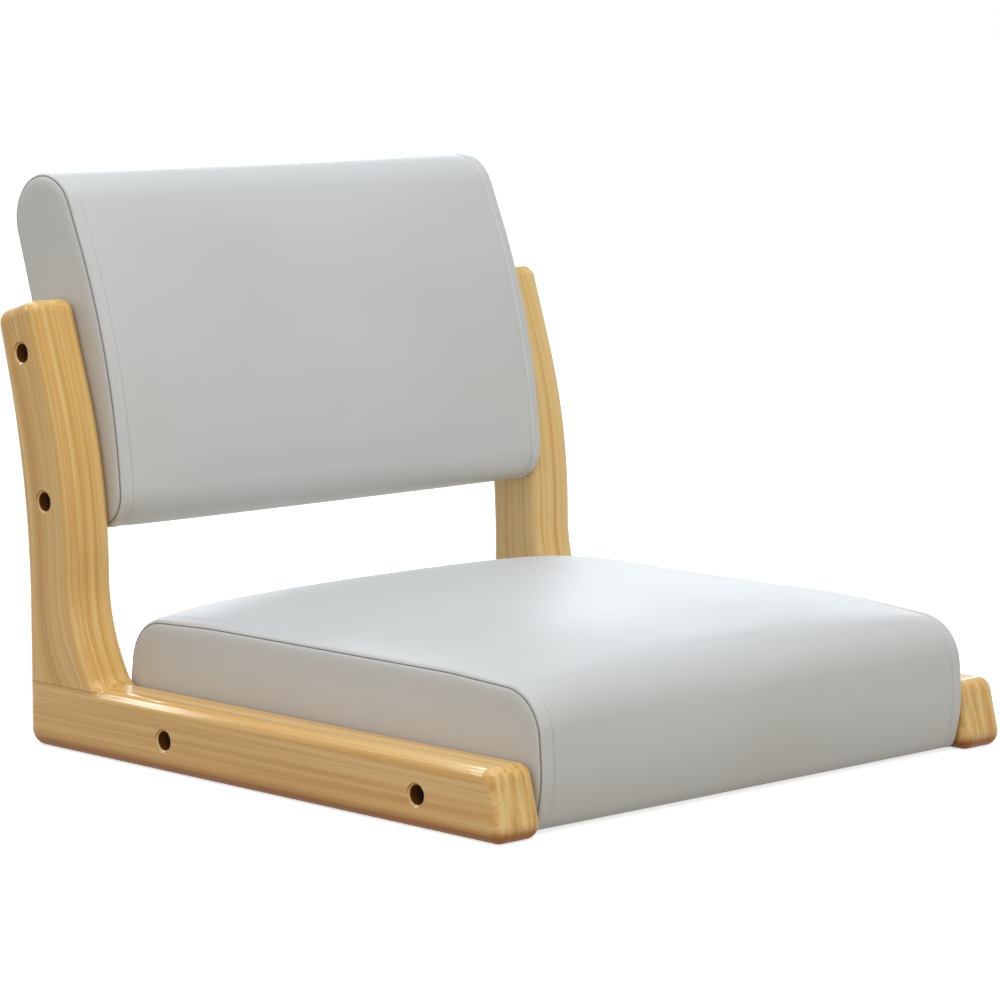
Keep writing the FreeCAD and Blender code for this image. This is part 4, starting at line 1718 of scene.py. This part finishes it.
@dataclass
class Studio:
    """Camera, lamps, white floor and background.

    The camera's angles are in degrees, its focal length is in pixels of the picture, and each
    streak is a place along the left rail and the width of the reflectors that draw it there.
    """

    azimuth: float = -43.88
    elevation: float = 7.54
    distance: float = 2829.1
    target: tuple[float, float, float] = (0.0, 235.0, 200.0)
    shift_right: float = -12.06
    shift_up: float = -29.79
    focal_pixels: float = 4148.3
    frame_pixels: float = 1000.0
    sensor: float = 36.0
    clip_end: float = 50.0
    aim: tuple[float, float, float] = (0.0, 0.0, 0.15)
    lamps: tuple[Lamp, ...] = (
        Lamp("overhead_softbox", (-0.4, -0.3, 2.4), (2.2, 2.2), watts=36.5, colour="#EEF6FF"),
        Lamp("front_fill", (0.0, -2.8, 1.1), (1.8, 1.4), watts=11.5, colour="#FFFCF7"),
        Lamp("left_fill", (-2.5, -0.9, 0.5), (1.6, 0.9), watts=6.0, colour="#FFFAF2"),
        Lamp("rear_softbox", (1.9, 2.0, 1.0), (2.4, 0.6), watts=20.0, colour="#E4F1FF"),
        Lamp("near_strip", (-1.9, -2.05, 0.85), (0.3, 1.2), watts=3.5, along=(0.733, -0.68, 0.0)),
    )
    streaks: tuple[tuple[str, float, float], ...] = (("rear_streak", 350.0, 0.07),
                                                     ("front_streak", -10.0, 0.085))
    rail_edge: tuple[float, float] = (-236.0, 42.0)
    arch_radius: float = 1.4
    arch_angles: tuple[float, ...] = (74.0, 104.0, 134.0)
    arch_width: float = 0.7
    streak_watts: float = 44.0
    surround: str = "#F6F8FB"
    surround_strength: float = 0.52
    floor_half: float = 12.0
    floor_grey: float = 0.9
    floor_glow: float = 0.7
    floor_spread: str = "#A39A86"

    def build_camera(self) -> None:
        """Sets the camera at the photograph's angle."""
        a, e = math.radians(self.azimuth), math.radians(self.elevation)
        back = Vector((math.sin(a) * math.cos(e), -math.cos(a) * math.cos(e), math.sin(e)))
        right = Vector((math.cos(a), math.sin(a), 0))
        up = back.cross(right)
        data = bpy.data.cameras.new("camera")
        data.sensor_width = self.sensor
        data.lens = self.focal_pixels / self.frame_pixels * self.sensor
        data.clip_end = self.clip_end
        camera = bpy.data.objects.new("camera", data)
        away = back * self.distance + right * self.shift_right + up * self.shift_up
        camera.location = Vector(to_row(self.target)) + away * MM
        camera.rotation_euler = back.to_track_quat("Z", "Y").to_euler()
        bpy.context.scene.collection.objects.link(camera)
        bpy.context.scene.camera = camera

    def hang_streak(self, name: str, y: float, depth: float) -> None:
        """Hangs an arch of reflectors that draws one short streak on the left rail's upper edge.

        Args:
            name: name of the reflectors.
            y: place of the streak along the rail, from the toe.
            depth: width of the arch, which gives the streak its length.
        """
        edge_x, edge_z = self.rail_edge
        aim = Vector(to_row([edge_x, y, edge_z]))
        sight = (bpy.context.scene.camera.location - aim).normalized()
        reach = -self.arch_radius * sight.y / math.sqrt(1 - sight.y ** 2)
        for k, degrees in enumerate(self.arch_angles):
            turn = math.radians(degrees)
            out = Vector((math.cos(turn), 0.0, math.sin(turn)))
            place = aim + self.arch_radius * out + Vector((0, reach, 0))
            Lamp(f"{name}_{k}", tuple(place), (self.arch_width, depth), self.streak_watts * depth,
                 along=(-math.sin(turn), 0.0, math.cos(turn))).hang(aim)

    def build_lamps(self) -> None:
        """Hangs the soft lamps, and the reflectors that show on the frames' rounded edges."""
        for lamp in self.lamps:
            lamp.hang(Vector(self.aim))
        for streak in self.streaks:
            self.hang_streak(*streak)

    def build_world(self) -> None:
        """Makes an even white surround."""
        world = bpy.data.worlds.new("surround")
        bpy.context.scene.world = world
        world.use_nodes = True
        tree = world.node_tree
        tree.nodes.clear()
        ambient = add_node(tree, "Background", [linear(self.surround), self.surround_strength])
        white = add_node(tree, "Background", [grey(1.0), 1.0])
        mix = add_node(tree, "MixShader", [self._seen(tree), ambient, white])
        add_node(tree, "OutputWorld", {"Surface": mix})

    def _seen(self, tree: Tree) -> bpy.types.Node:
        """Tells the rays that look at the white background from light that spreads.

        Args:
            tree: node tree of the background.

        Returns:
            1 for rays of the camera, reflections and glass, and 0 for the rest.
        """
        path = add_node(tree, "LightPath").outputs
        total: Any = path["Is Camera Ray"]
        for kind in ("Is Glossy Ray", "Is Transmission Ray"):
            total = add_node(tree, "Math", [total, path[kind]], operation="ADD")
        return add_node(tree, "Math", [total, 1.0], operation="MINIMUM")

    def build_floor(self) -> None:
        """Lays a pale floor that shows white and keeps the chair's shadow."""
        half = self.floor_half
        corners = [(-half, -half, 0), (half, -half, 0), (half, half, 0), (-half, half, 0)]
        mesh = bpy.data.meshes.new("floor")
        mesh.from_pydata(corners, [], [(0, 1, 2, 3)])
        floor = bpy.data.objects.new("floor", mesh)
        bpy.context.scene.collection.objects.link(floor)
        material = bpy.data.materials.new("pale_floor")
        material.use_nodes = True
        tree = material.node_tree
        tree.nodes.clear()
        pale = add_node(tree, "BsdfDiffuse", [grey(self.floor_grey)])
        glow = add_node(tree, "Emission", [grey(1.0), self.floor_glow])
        shown = add_node(tree, "AddShader", [pale, glow])
        spread = add_node(tree, "BsdfDiffuse", [linear(self.floor_spread)])
        mix = add_node(tree, "MixShader", [self._seen(tree), spread, shown])
        add_node(tree, "OutputMaterial", {"Surface": mix})
        mesh.materials.append(material)

    def build(self) -> None:
        """Builds the whole stage."""
        self.build_camera()
        self.build_lamps()
        self.build_world()
        self.build_floor()
        bpy.context.scene.view_settings.view_transform = "Standard"
        log.info("studio: camera, lamps, world and floor")


def main() -> None:
    """Builds the stage and the chair in order."""
    Studio().build()
    wood = LacqueredPine()
    for side in Side:
        SideFrame(side).dress(wood)
    dress_inner_pieces()
    cover = CoatedCloth().build()
    # Dark cord that paints the shade in the side seams.
    seam = SEAM_SHADE_CORD.build()
    foam = CUT_FOAM.build()
    seat, back = SeatPad(), BackPad()
    for pad in (seat, back):
        pad.build(cover, seam)
    SeatFoam(seat).build(foam)
    BackFoam(back).build(foam)
    DustCloth().build(SPUNBOND.build())


if __name__ == "__main__":
    main()
